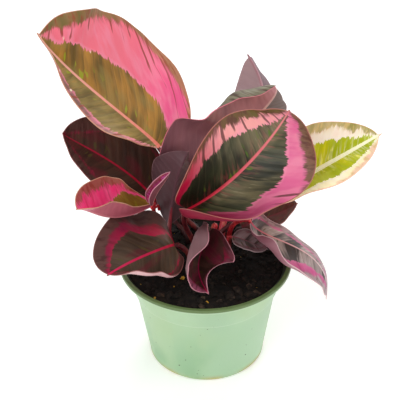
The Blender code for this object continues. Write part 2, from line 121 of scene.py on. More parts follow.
class Finish:
    """One material and short ways to add nodes to it."""

    def __init__(self, name):
        self.material = bpy.data.materials.new(name)
        self.material.use_nodes = True
        self.tree = self.material.node_tree
        self.shader = self.tree.nodes["Principled BSDF"]

    def feed(self, socket, value):
        if isinstance(value, bpy.types.NodeSocket):
            self.tree.links.new(value, socket)
        else:
            socket.default_value = value

    def node(self, kind, inputs=(), **settings):
        made = self.tree.nodes.new(kind)
        for key, value in settings.items():
            setattr(made, key, value)
        for key, value in dict(inputs).items():
            self.feed(made.inputs[key], value)
        return made

    def sums(self, operation, first, second=0.0, clamp=False):
        made = self.node("ShaderNodeMath", {0: first, 1: second},
                         operation=operation, use_clamp=clamp)
        return made.outputs[0]

    def times(self, first, second):
        return self.sums("MULTIPLY", first, second)

    def plus(self, first, second, clamp=False):
        return self.sums("ADD", first, second, clamp)

    def minus(self, first, second):
        return self.sums("SUBTRACT", first, second)

    def ramp(self, share, ends):
        """A number that runs from the first to the second end as share goes from 0 to 1."""
        return self.plus(ends[0], self.times(share, ends[1] - ends[0]))

    def wobble(self, pattern, size):
        """A pattern turned into a shift of about plus or minus half of size."""
        return self.times(self.minus(pattern, 0.5), size)

    def blend(self, *weighted):
        """Weighted sum of several patterns."""
        total = 0.0
        for pattern, weight in weighted:
            total = self.plus(self.times(pattern, weight), total)
        return total

    def step(self, value, low, high):
        """Rises softly from 0 at low to 1 at high, or falls where low is the greater."""
        made = self.node("ShaderNodeMapRange",
                         {"Value": value, "From Min": low, "From Max": high},
                         interpolation_type="SMOOTHSTEP", clamp=True)
        return made.outputs["Result"]

    def mix(self, share, first, second):
        made = self.node("ShaderNodeMix", data_type="RGBA")
        self.feed(made.inputs["Factor"], share)
        self.feed(made.inputs[MIX_FIRST], first)
        self.feed(made.inputs[MIX_SECOND], second)
        return made.outputs[MIX_RESULT]

    def lay(self, tone, colour, cover, amount=1.0):
        """Lays a colour over a tone where cover is 1, as strongly as amount says."""
        if amount != 1.0:
            cover = self.times(cover, amount)
        return self.mix(cover, tone, colour)

    def attribute(self, name):
        return self.node("ShaderNodeAttribute", attribute_name=name)

    def parts(self, vector):
        made = self.node("ShaderNodeSeparateXYZ", {"Vector": vector})
        return made.outputs[0], made.outputs[1], made.outputs[2]

    def millimetres(self):
        """Place on the piece in millimetres, from its Object coordinates."""
        place = self.node("ShaderNodeTexCoord").outputs["Object"]
        made = self.node("ShaderNodeVectorMath", {"Vector": place, "Scale": 1 / MM},
                         operation="SCALE")
        return made.outputs[0]

    def noise(self, vector, stretch=(1, 1, 1), detail=2.0, rough=0.5):
        """Noise of about one lump a unit, after its directions are stretched."""
        place = self.node("ShaderNodeVectorMath", {0: vector, 1: stretch},
                          operation="MULTIPLY")
        made = self.node("ShaderNodeTexNoise", {
            "Vector": place.outputs[0], "Scale": 1.0, "Detail": detail,
            "Roughness": rough})
        return made.outputs["Fac"]

    def bump(self, height, distance, strength=1.0):
        made = self.node("ShaderNodeBump", {
            "Height": height, "Distance": distance, "Strength": strength})
        self.feed(self.shader.inputs["Normal"], made.outputs["Normal"])

    def rough(self, least, pattern, spread):
        """Roughness that grows with a pattern."""
        self.set(Roughness=self.plus(least, self.times(pattern, spread)))

    def set(self, **values):
        for key, value in values.items():
            self.feed(self.shader.inputs[key.replace("_", " ")], value)


print("finish helpers ready")

# %% [markdown]
# The floor is a wide flat plate in matt white, with a faint mottle so that it isn't one
# flat tone. A little light of its own keeps it nearly as bright as the surround. Without it
# the pot would seem to float. It is part of the stage and not of the plant.

# %% Floor
FLOOR_SIZE = 6.0
FLOOR_THICK = 0.01
FLOOR_MOTTLE = 0.004
FLOOR_GLOW = 0.2

bpy.ops.object.select_all(action="DESELECT")
bpy.ops.mesh.primitive_cube_add(size=1, location=(0, 0, -FLOOR_THICK / 2))
floor = bpy.context.object
floor.name = "floor"
floor.scale = (FLOOR_SIZE, FLOOR_SIZE, FLOOR_THICK)
bpy.ops.object.transform_apply(location=True, rotation=True, scale=True)
floor_finish = Finish("floor_white")
mottle = floor_finish.noise(floor_finish.millimetres(), (FLOOR_MOTTLE,) * 3)
floor_finish.set(
    Base_Color=floor_finish.mix(mottle, paint(250, 250, 250), paint(254, 254, 254)),
    Roughness=0.9, Emission_Color=(1, 1, 1, 1), Emission_Strength=FLOOR_GLOW)
floor.data.materials.append(floor_finish.material)
print("floor", FLOOR_SIZE, "m wide")

# %% [markdown]
# The pot is thin moulded plastic: a tapering cup with a small step below the collar, a
# rolled lip and a narrow foot. A lathe would turn it, and here a circle does the same work:
# it is extruded ring by ring and each ring is scaled to the radius at that height. The
# rings go down the outside, across the base and up the inside, so the wall has its real
# thickness.

# %% Pot sizes
POT_HEIGHT = 69.3
LIP_RADIUS = 54.0
LIP_DEPTH = 2.8
LIP_ROUND = 0.6
LIP_WIDTH = 2.6
LIP_STEPS = 4
LIP_EDGE = 0.4
COLLAR_RADIUS = 50.5
COLLAR_EDGE = 0.5
STEP_HEIGHT = 50.0
STEP_RADIUS = 45.6
STEP_IN = 1.0
STEP_EDGE = 0.2
STEP_TUCK = 0.15
FOOT_HEIGHT = 3.0
FOOT_RADIUS = 37.5
BASE_RADIUS = 36.5
WALL = 1.2
BASE_THICK = 1.8
BASE_RECESS = 0.5
BASE_RINGS = (29, 15)
CORE_RADIUS = 2
COLLAR_RINGS = (62, 58, 54, 51)
WALL_RINGS = (42, 34, 26, 18, 10)
UNDER_LIP = POT_HEIGHT - LIP_DEPTH
BELOW_STEP = STEP_HEIGHT - STEP_IN
INNER_RINGS = (18, 34, BELOW_STEP)
INNER_COLLAR_RING = 58


def wall_radius(height):
    """Outer radius of the pot's wall below the lip."""
    if height >= STEP_HEIGHT:
        share = (height - STEP_HEIGHT) / (UNDER_LIP - STEP_HEIGHT)
        return STEP_RADIUS + (COLLAR_RADIUS - STEP_RADIUS) * share
    low = STEP_RADIUS - STEP_IN
    share = (height - FOOT_HEIGHT) / (STEP_HEIGHT - FOOT_HEIGHT)
    return FOOT_RADIUS + (low - FOOT_RADIUS) * share


print("the wall is", round(wall_radius(STEP_HEIGHT), 1), "in radius at its step")

# %% Pot rings
def wall_rings(heights, inwards=0.0):
    """Radius and height at several heights of the wall's outer or inner face."""
    return [(wall_radius(height) - inwards, height) for height in heights]


def pot_rings():
    """Rings from inside the lip, round the outside and across the base's underside."""
    rings = [(LIP_RADIUS - LIP_WIDTH, POT_HEIGHT - 0.2),
             (LIP_RADIUS - 2 * LIP_ROUND, POT_HEIGHT)]
    for index in range(1, LIP_STEPS + 1):
        turn = math.radians(90 * index / LIP_STEPS)
        rings.append((LIP_RADIUS - LIP_ROUND * (1 - math.sin(turn)),
                      POT_HEIGHT - LIP_ROUND * (1 - math.cos(turn))))
    rings += [(LIP_RADIUS, UNDER_LIP + LIP_EDGE), (LIP_RADIUS - LIP_EDGE, UNDER_LIP),
              (COLLAR_RADIUS + COLLAR_EDGE, UNDER_LIP),
              (COLLAR_RADIUS, UNDER_LIP - COLLAR_EDGE)]
    rings += wall_rings(COLLAR_RINGS)
    rings += [(STEP_RADIUS, STEP_HEIGHT + STEP_EDGE),
              (STEP_RADIUS - STEP_TUCK, STEP_HEIGHT - STEP_EDGE),
              (wall_radius(BELOW_STEP) + STEP_TUCK, BELOW_STEP + STEP_EDGE),
              (wall_radius(BELOW_STEP), BELOW_STEP - 0.3)]
    rings += wall_rings(WALL_RINGS)
    rings += [(FOOT_RADIUS, FOOT_HEIGHT), (FOOT_RADIUS - 0.1, 1.0),
              (BASE_RADIUS + 0.2, 0.25), (BASE_RADIUS - 0.6, 0.0),
              (BASE_RINGS[0] + 1, 0.0)]
    rings += [(radius, BASE_RECESS) for radius in (*BASE_RINGS, CORE_RADIUS)]
    return rings


def pot_inner_rings():
    """Rings from the middle of the base outwards and up the inside."""
    rings = [(radius, BASE_THICK) for radius in (CORE_RADIUS, *reversed(BASE_RINGS))]
    rings += [(FOOT_RADIUS - WALL - 1, BASE_THICK), (FOOT_RADIUS - WALL, FOOT_HEIGHT)]
    rings += wall_rings(INNER_RINGS, WALL)
    rings.append((STEP_RADIUS - WALL, STEP_HEIGHT))
    rings += wall_rings((INNER_COLLAR_RING,), WALL)
    rings.append((COLLAR_RADIUS - WALL, UNDER_LIP))
    return rings


print(len(pot_rings()) + len(pot_inner_rings()), "rings in the pot's profile")

# %% Turn the pot
POT_SIDES = 128


def turned(name, rings, sides, close_loop):
    """A circle extruded and scaled ring by ring, with its two ends bridged if asked."""
    bpy.ops.object.select_all(action="DESELECT")
    radius, height = rings[0]
    bpy.ops.mesh.primitive_circle_add(
        vertices=sides, radius=radius * MM, location=(0, 0, height * MM))
    piece = bpy.context.object
    piece.name = name
    bpy.ops.object.transform_apply(location=True, rotation=True, scale=True)
    bpy.ops.object.mode_set(mode="EDIT")
    bpy.ops.mesh.select_all(action="SELECT")
    for (wide, low), (next_wide, next_low) in zip(rings, rings[1:]):
        bpy.ops.mesh.extrude_region_move(
            TRANSFORM_OT_translate={"value": (0, 0, (next_low - low) * MM)})
        share = next_wide / wide
        bpy.ops.transform.resize(value=(share, share, 1),
                                 center_override=(0, 0, next_low * MM))
    if close_loop:
        bpy.ops.mesh.select_all(action="DESELECT")
        bpy.ops.mesh.select_non_manifold()
        bpy.ops.mesh.bridge_edge_loops()
    bpy.ops.mesh.select_all(action="SELECT")
    bpy.ops.mesh.normals_make_consistent(inside=False)
    bpy.ops.object.mode_set(mode="OBJECT")
    return piece


pot = turned("nursery_pot", pot_rings() + pot_inner_rings(), POT_SIDES, True)
print("pot", len(pot.data.polygons), "faces")

# %% [markdown]
# The turned wall still has a narrow tube through the middle of its base. Its faces are
# deleted and its two rims filled. Five plain round holes then let water out, cut with a
# Boolean because they cross the base's rings.

# %% Close the pot's base and drill its drain holes
DRAIN_HOLES = 5
DRAIN_RADIUS = 3.5
DRAIN_CIRCLE = 23.0
DRILL_DEPTH = 8.0
DRILL_SIDES = 32


def only(piece):
    """Selects one piece alone and makes it the active one."""
    bpy.ops.object.select_all(action="DESELECT")
    piece.select_set(True)
    bpy.context.view_layer.objects.active = piece


def drill(piece, places, radius):
    """Cuts plain round holes through a piece with a Boolean."""
    for x, y, z in places:
        bpy.ops.object.select_all(action="DESELECT")
        bpy.ops.mesh.primitive_cylinder_add(
            vertices=DRILL_SIDES, radius=radius * MM, depth=DRILL_DEPTH * MM,
            location=Vector((x, y, z)) * MM)
        bit = bpy.context.object
        only(piece)
        boolean = piece.modifiers.new("hole", "BOOLEAN")
        boolean.operation = "DIFFERENCE"
        boolean.object = bit
        bpy.ops.object.modifier_apply(modifier=boolean.name)
        bpy.data.objects.remove(bit, do_unlink=True)


def pick(piece, wanted, kind="VERT"):
    """Selects only the vertices or faces whose place in millimetres passes a test."""
    only(piece)
    bpy.ops.object.mode_set(mode="EDIT")
    bpy.ops.mesh.select_mode(type=kind)
    bpy.ops.mesh.select_all(action="DESELECT")
    bpy.ops.object.mode_set(mode="OBJECT")
    mesh = piece.data
    for item in mesh.vertices if kind == "VERT" else mesh.polygons:
        place = item.co if kind == "VERT" else item.center
        item.select = wanted(place / MM)
    bpy.ops.object.mode_set(mode="EDIT")


def in_core(place, radius):
    return math.hypot(place.x, place.y) < radius


def close_middle(piece):
    """Takes out the narrow tube in the base and closes its two rims with flat faces."""
    reach = CORE_RADIUS + 0.1
    pick(piece, lambda place: in_core(place, reach), "FACE")
    bpy.ops.mesh.delete(type="ONLY_FACE")
    bpy.ops.object.mode_set(mode="OBJECT")
    for low in (BASE_RECESS, BASE_THICK):
        pick(piece, lambda place: in_core(place, reach) and abs(place.z - low) < 0.1)
        bpy.ops.mesh.edge_face_add()
        bpy.ops.object.mode_set(mode="OBJECT")
    pick(piece, lambda place: True)
    bpy.ops.mesh.delete_loose()
    bpy.ops.mesh.select_all(action="SELECT")
    bpy.ops.mesh.normals_make_consistent(inside=False)
    bpy.ops.object.mode_set(mode="OBJECT")


close_middle(pot)
drain_places = []
for index in range(DRAIN_HOLES):
    turn = 2 * math.pi * index / DRAIN_HOLES
    drain_places.append((DRAIN_CIRCLE * math.cos(turn), DRAIN_CIRCLE * math.sin(turn), 1))
drill(pot, drain_places, DRAIN_RADIUS)
only(pot)
bpy.ops.object.shade_smooth_by_angle(angle=math.radians(30))
print("pot with", DRAIN_HOLES, "holes:", len(pot.data.polygons), "faces")

# %% [markdown]
# The plastic is thin and a little see-through. Its wall is painted pale mint near the top,
# where light comes through it, and greener lower down as painted shade where the soil backs
# it, and yellowish in places at the foot, where grime collects. The small step catches a pale
# line of light, a painted highlight. The finish mixes these by height and adds a soft mottle,
# fine scuffs and a few dark specks. A painted picture would need a seam round the pot, and
# noise has none.

# %% Pot wall finish
WALL_FADE = (8, 62)
GRIME_FADE = (5, 0.5)
LEDGE_HEIGHT = STEP_HEIGHT - 0.5
LEDGE_FADE = (0.9, 0.2)


def pot_finish():
    finish = Finish("mint_plastic")
    place = finish.millimetres()
    _, _, height = finish.parts(place)
    cloud = finish.noise(place, (0.05, 0.05, 0.03), 3)
    scuff = finish.noise(place, (0.5, 0.5, 0.08), 4, 0.6)
    broad = finish.noise(place, (0.02, 0.02, 0.015), 2)
    speck = finish.noise(place, (0.6, 0.6, 0.6), 0)
    # painted light: pale mint near the top where light comes through, painted shade lower
    # down
    wall = finish.mix(finish.step(height, *WALL_FADE), paint(150, 190, 146),
                      paint(182, 214, 174))
    wall = finish.lay(wall, paint(176, 206, 160), finish.step(cloud, 0.35, 0.7))
    wall = finish.lay(wall, paint(172, 206, 168), finish.step(broad, 0.4, 0.65))
    # painted highlight: a pale line of light along the step
    ledge = finish.sums("ABSOLUTE", finish.minus(height, LEDGE_HEIGHT))
    wall = finish.lay(wall, paint(222, 238, 214), finish.step(ledge, *LEDGE_FADE), 0.5)
    wall = finish.lay(wall, paint(186, 178, 118), finish.step(height, *GRIME_FADE),
                      finish.step(cloud, 0.3, 0.6))
    wall = finish.lay(wall, paint(70, 75, 50), finish.step(speck, 0.845, 0.86))
    finish.set(Base_Color=wall, Subsurface_Weight=0.35, Subsurface_Scale=0.004,
               Subsurface_Radius=(0.8, 1.0, 0.8))
    finish.rough(0.34, scuff, 0.16)
    finish.bump(scuff, 0.00005, 0.4)
    return finish.material


pot.data.materials.append(pot_finish())
print("pot wall finished")

# %% [markdown]
# The rolled lip is thick and gets no light from behind, so its colour is a deep olive,
# darkened in part as painted shade, with a painted highlight along its lower edge. The wall
# inside is painted nearly black as shade, with a soft mottle.

# %% Lip and inside finishes
# height band of the painted highlight along the lip's lower edge
LIP_HIGHLIGHT_FADE = (UNDER_LIP + 1.2, UNDER_LIP + 0.8)
LIP_INDEX = 1
INSIDE_INDEX = 2


def lip_finish():
    finish = Finish("olive_lip")
    place = finish.millimetres()
    _, _, height = finish.parts(place)
    cloud = finish.noise(place, (0.12, 0.12, 0.3), 3)
    rolled = finish.mix(cloud, paint(84, 108, 60), paint(110, 136, 82))
    # painted highlight: a pale band along the lip's lower edge
    finish.set(Base_Color=finish.lay(rolled, paint(186, 214, 176),
                                     finish.step(height, *LIP_HIGHLIGHT_FADE)))
    finish.rough(0.3, cloud, 0.2)
    finish.bump(finish.noise(place, (0.8, 0.8, 0.8), 2), 0.00004, 0.4)
    return finish.material


def inside_shade_finish():
    finish = Finish("inside_painted_shade")
    shade_mottle = finish.noise(finish.millimetres(), (0.25, 0.25, 0.5), 4, 0.65)
    # painted shade: the wall inside is nearly black, with a soft mottle
    finish.set(Base_Color=finish.mix(finish.step(shade_mottle, 0.35, 0.65), paint(24, 22, 12),
                                     paint(52, 58, 32)))
    finish.rough(0.45, shade_mottle, 0.3)
    finish.bump(shade_mottle, 0.0002, 0.5)
    return finish.material


pot.data.materials.append(lip_finish())
pot.data.materials.append(inside_shade_finish())
for face in pot.data.polygons:
    x, y, z = face.center / MM
    inward = face.normal.x * x + face.normal.y * y < -1
    if inward and BASE_THICK < z < POT_HEIGHT - 0.3:
        face.material_index = INSIDE_INDEX
    elif z > UNDER_LIP + 0.1:
        face.material_index = LIP_INDEX
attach(pot, "root")
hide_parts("pot")
print("pot finished")

# %% [markdown]
# The soil is black peat with bark and a few yellow grains. One turned body fills the pot,
# with a low mound on top that gets its crumbly relief from layered noise. A Displace
# modifier could raise it too, but a formula also tells each stem how high the ground is. The
# body's two narrow ends in the middle are closed with small fans of faces.

# %% Soil surface
GAP = 0.3
SOIL_EDGE_HEIGHT = 65.0
SOIL_RISE = 1.8
SOIL_LUMP = 0.5
SOIL_CRUMBLE = 0.8
CRUMB_NOISE = 0.35
GRAIN_NOISE = 1.1


def soil_radius(height):
    return wall_radius(height) - WALL - GAP


def soil_height(x, y):
    """Height of the soil's surface: a low mound with soft lumps that fade at the wall."""
    reach = min(1.0, math.hypot(x, y) / soil_radius(SOIL_EDGE_HEIGHT))
    mound = SOIL_RISE * (1 - reach ** 2)
    lumps = math.sin(0.31 * x + 1.0) * math.cos(0.27 * y) + 0.6 * math.sin(0.52 * y - 0.2 * x)
    return SOIL_EDGE_HEIGHT + mound + SOIL_LUMP * lumps * (1 - reach ** 4)


def crumbled_height(x, y):
    """The same surface with crumbs of a few millimetres and grains of one."""
    coarse = noise.noise(Vector((x, y, 0)) * CRUMB_NOISE)
    grains = noise.noise(Vector((x, y, 9)) * GRAIN_NOISE)
    return soil_height(x, y) + SOIL_CRUMBLE * (coarse + 0.5 * grains)


print("the soil is", round(crumbled_height(0, 0), 1), "high in the middle")

# %% Soil body
SOIL_RINGS = 40
SOIL_SIDES = 160
SOIL_CORE = 1.0

soil_rings = []
for index in range(SOIL_RINGS):
    radius = soil_radius(SOIL_EDGE_HEIGHT) * (index + 0.5) / SOIL_RINGS
    soil_rings.append((radius, SOIL_EDGE_HEIGHT))
soil_rings += [
    (soil_radius(SOIL_EDGE_HEIGHT), SOIL_EDGE_HEIGHT - 0.5),
    (soil_radius(STEP_HEIGHT), STEP_HEIGHT), (soil_radius(BELOW_STEP), BELOW_STEP),
    (FOOT_RADIUS - WALL - GAP, FOOT_HEIGHT), (FOOT_RADIUS - WALL - GAP, BASE_THICK + GAP),
    (SOIL_CORE, BASE_THICK + GAP)]
soil = turned("potting_soil", soil_rings, SOIL_SIDES, False)
for low, high in ((BASE_THICK, BASE_THICK + 1), (SOIL_EDGE_HEIGHT - 1, SOIL_EDGE_HEIGHT + 1)):
    pick(soil, lambda place: in_core(place, SOIL_CORE + 0.2) and low < place.z < high)
    bpy.ops.mesh.edge_face_add()
    bpy.ops.mesh.poke()
    bpy.ops.object.mode_set(mode="OBJECT")
for vertex in soil.data.vertices:
    if vertex.co.z > (SOIL_EDGE_HEIGHT - 0.1) * MM:
        vertex.co.z = crumbled_height(vertex.co.x / MM, vertex.co.y / MM) * MM
pick(soil, lambda place: True)
bpy.ops.mesh.normals_make_consistent(inside=False)
bpy.ops.object.mode_set(mode="OBJECT")
bpy.ops.object.shade_smooth_by_angle(angle=math.radians(50))
print("soil", len(soil.data.polygons), "faces")

# %% [markdown]
# Loose crumbs, bark and grains lie on the soil as real small lumps, so the surface catches
# light as broken ground does. For each kind, four balls are pushed out of round and copied
# over the surface, each copy turned and stretched its own way. Most are small, and a few
# larger bits are set one by one near the front.

# %% Loose crumbs, bark and grains
CRUMBS = {
    # placed: bits set one by one near the front, as x, y and radius
    "soil_crumbs": dict(count=430, size=(0.6, 2.4), flat=0.7, seed=3, placed=(
        (14, -36, 3.0), (26, -34, 2.6), (-22, -34, 3.0), (4, -34, 2.6), (33, -24, 2.4))),
    "bark_bits": dict(count=18, size=(0.8, 1.8), flat=0.45, seed=5, placed=(
        (19, -30, 2.8), (26, -27, 2.2), (15, -38, 2.4), (30, -31, 1.8), (8, -40, 2.0),
        (-27, -33, 2.2))),
    "pale_grains": dict(count=16, size=(0.3, 0.6), flat=0.7, seed=8, placed=(
        (-14.3, -18.4, 1.1), (0.3, -41.1, 1.0), (-30.8, -35.3, 0.7), (31, -27, 0.5))),
}
LUMP_KINDS = 4
LUMP_NOISE = 1.3
LUMP_PUSH = 0.55
CRUMB_MARGIN = 2
CRUMB_LIFT = 0.2
CRUMB_TILT = 0.5
CRUMB_STRETCH = (0.8, 1.5)


def crumb_mesh(seed):
    """A small lump: an icosphere with its corners pushed about."""
    bpy.ops.object.select_all(action="DESELECT")
    bpy.ops.mesh.primitive_ico_sphere_add(subdivisions=2, radius=1)
    lump = bpy.context.object
    for vertex in lump.data.vertices:
        push = noise.noise(vertex.co * LUMP_NOISE + Vector((seed, 0, 0)))
        vertex.co *= 1 + LUMP_PUSH * push
    mesh = lump.data
    bpy.data.objects.remove(lump, do_unlink=True)
    return mesh


def scatter(name, count, size, flat, seed, placed):
    """Copies a lump over the soil, each turned and sized its own way, and joins them."""
    dice = random.Random(seed)
    lumps = [crumb_mesh(seed + index) for index in range(LUMP_KINDS)]
    pieces = []
    edge = soil_radius(SOIL_EDGE_HEIGHT) - CRUMB_MARGIN
    spots = list(placed)
    for index in range(count):
        reach = edge * math.sqrt(dice.random())
        turn = dice.uniform(0, 2 * math.pi)
        radius = size[0] + (size[1] - size[0]) * dice.random() ** 2
        spots.append((reach * math.cos(turn), reach * math.sin(turn), radius))
    for index, (x, y, radius) in enumerate(spots):
        place = Vector((x, y, crumbled_height(x, y) + CRUMB_LIFT * radius * flat))
        turned_lump = Matrix.Rotation(dice.uniform(0, 6.3), 4, "Z")
        tilt = Matrix.Rotation(dice.uniform(-CRUMB_TILT, CRUMB_TILT), 4, "X")
        long = radius * dice.uniform(*CRUMB_STRETCH)
        stretch = Matrix.Diagonal((long, radius, radius * flat, 1))
        mesh = lumps[index % LUMP_KINDS].copy()
        mesh.transform(Matrix.Scale(MM, 4) @ Matrix.Translation(place)
                       @ turned_lump @ tilt @ stretch)
        piece = bpy.data.objects.new(name, mesh)
        bpy.context.scene.collection.objects.link(piece)
        pieces.append(piece)
    only(pieces[0])
    for piece in pieces:
        piece.select_set(True)
    bpy.ops.object.join()
    bpy.ops.object.shade_smooth_by_angle(angle=math.radians(40))
    pieces[0].name = name
    return pieces[0]


crumb_pieces = {name: scatter(name, **ways) for name, ways in CRUMBS.items()}
print({name: len(piece.data.polygons) for name, piece in crumb_pieces.items()})

# %% [markdown]
# Peat, crumbs, bark and grains share one kind of finish: two tones in patches and again in
# fine grain, all of it rough, with only a little shine.

# %% Soil finishes
GROUND = {
    # dark tone, light tone, patches per millimetre and least roughness
    "peat": (paint(10, 8, 5), paint(34, 26, 18), 0.25, 0.8),
    "peat_crumb": (paint(12, 9, 6), paint(44, 34, 24), 0.3, 0.75),
    "bark": (paint(26, 19, 13), paint(78, 62, 48), 0.4, 0.65),
    "pale_grain": (paint(186, 132, 30), paint(232, 186, 70), 0.12, 0.6),
}


def ground_finish(name, dark, light, scale, roughness):
    finish = Finish(name)
    place = finish.millimetres()
    patch = finish.noise(place, (scale, scale, scale), 5, 0.65)
    grain = finish.noise(place, (2.2, 2.2, 2.2), 3, 0.6)
    tone = finish.mix(finish.step(patch, 0.38, 0.72), dark, light)
    tone = finish.lay(tone, light, finish.step(grain, 0.62, 0.78))
    finish.set(Base_Color=tone, Specular_IOR_Level=0.3)
    finish.rough(roughness, grain, 0.2)
    finish.bump(grain, 0.0004, 0.8)
    return finish.material


ground_pieces = {"peat": soil, "peat_crumb": crumb_pieces["soil_crumbs"],
                 "bark": crumb_pieces["bark_bits"], "pale_grain": crumb_pieces["pale_grains"]}
for name, piece in ground_pieces.items():
    piece.data.materials.append(ground_finish(name, *GROUND[name]))
    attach(piece, "root")
    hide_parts("soil")
print("soil finished")

# %% [markdown]
# Every blade is a bent sheet. Its midrib runs through four points, and each half folds up
# from the rib, goes on curling outwards and may roll over near the edge. The numbers are
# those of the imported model, so the fine blade lies where the plain one is. Here left and
# right are as seen on the upper face with the tip pointing away.

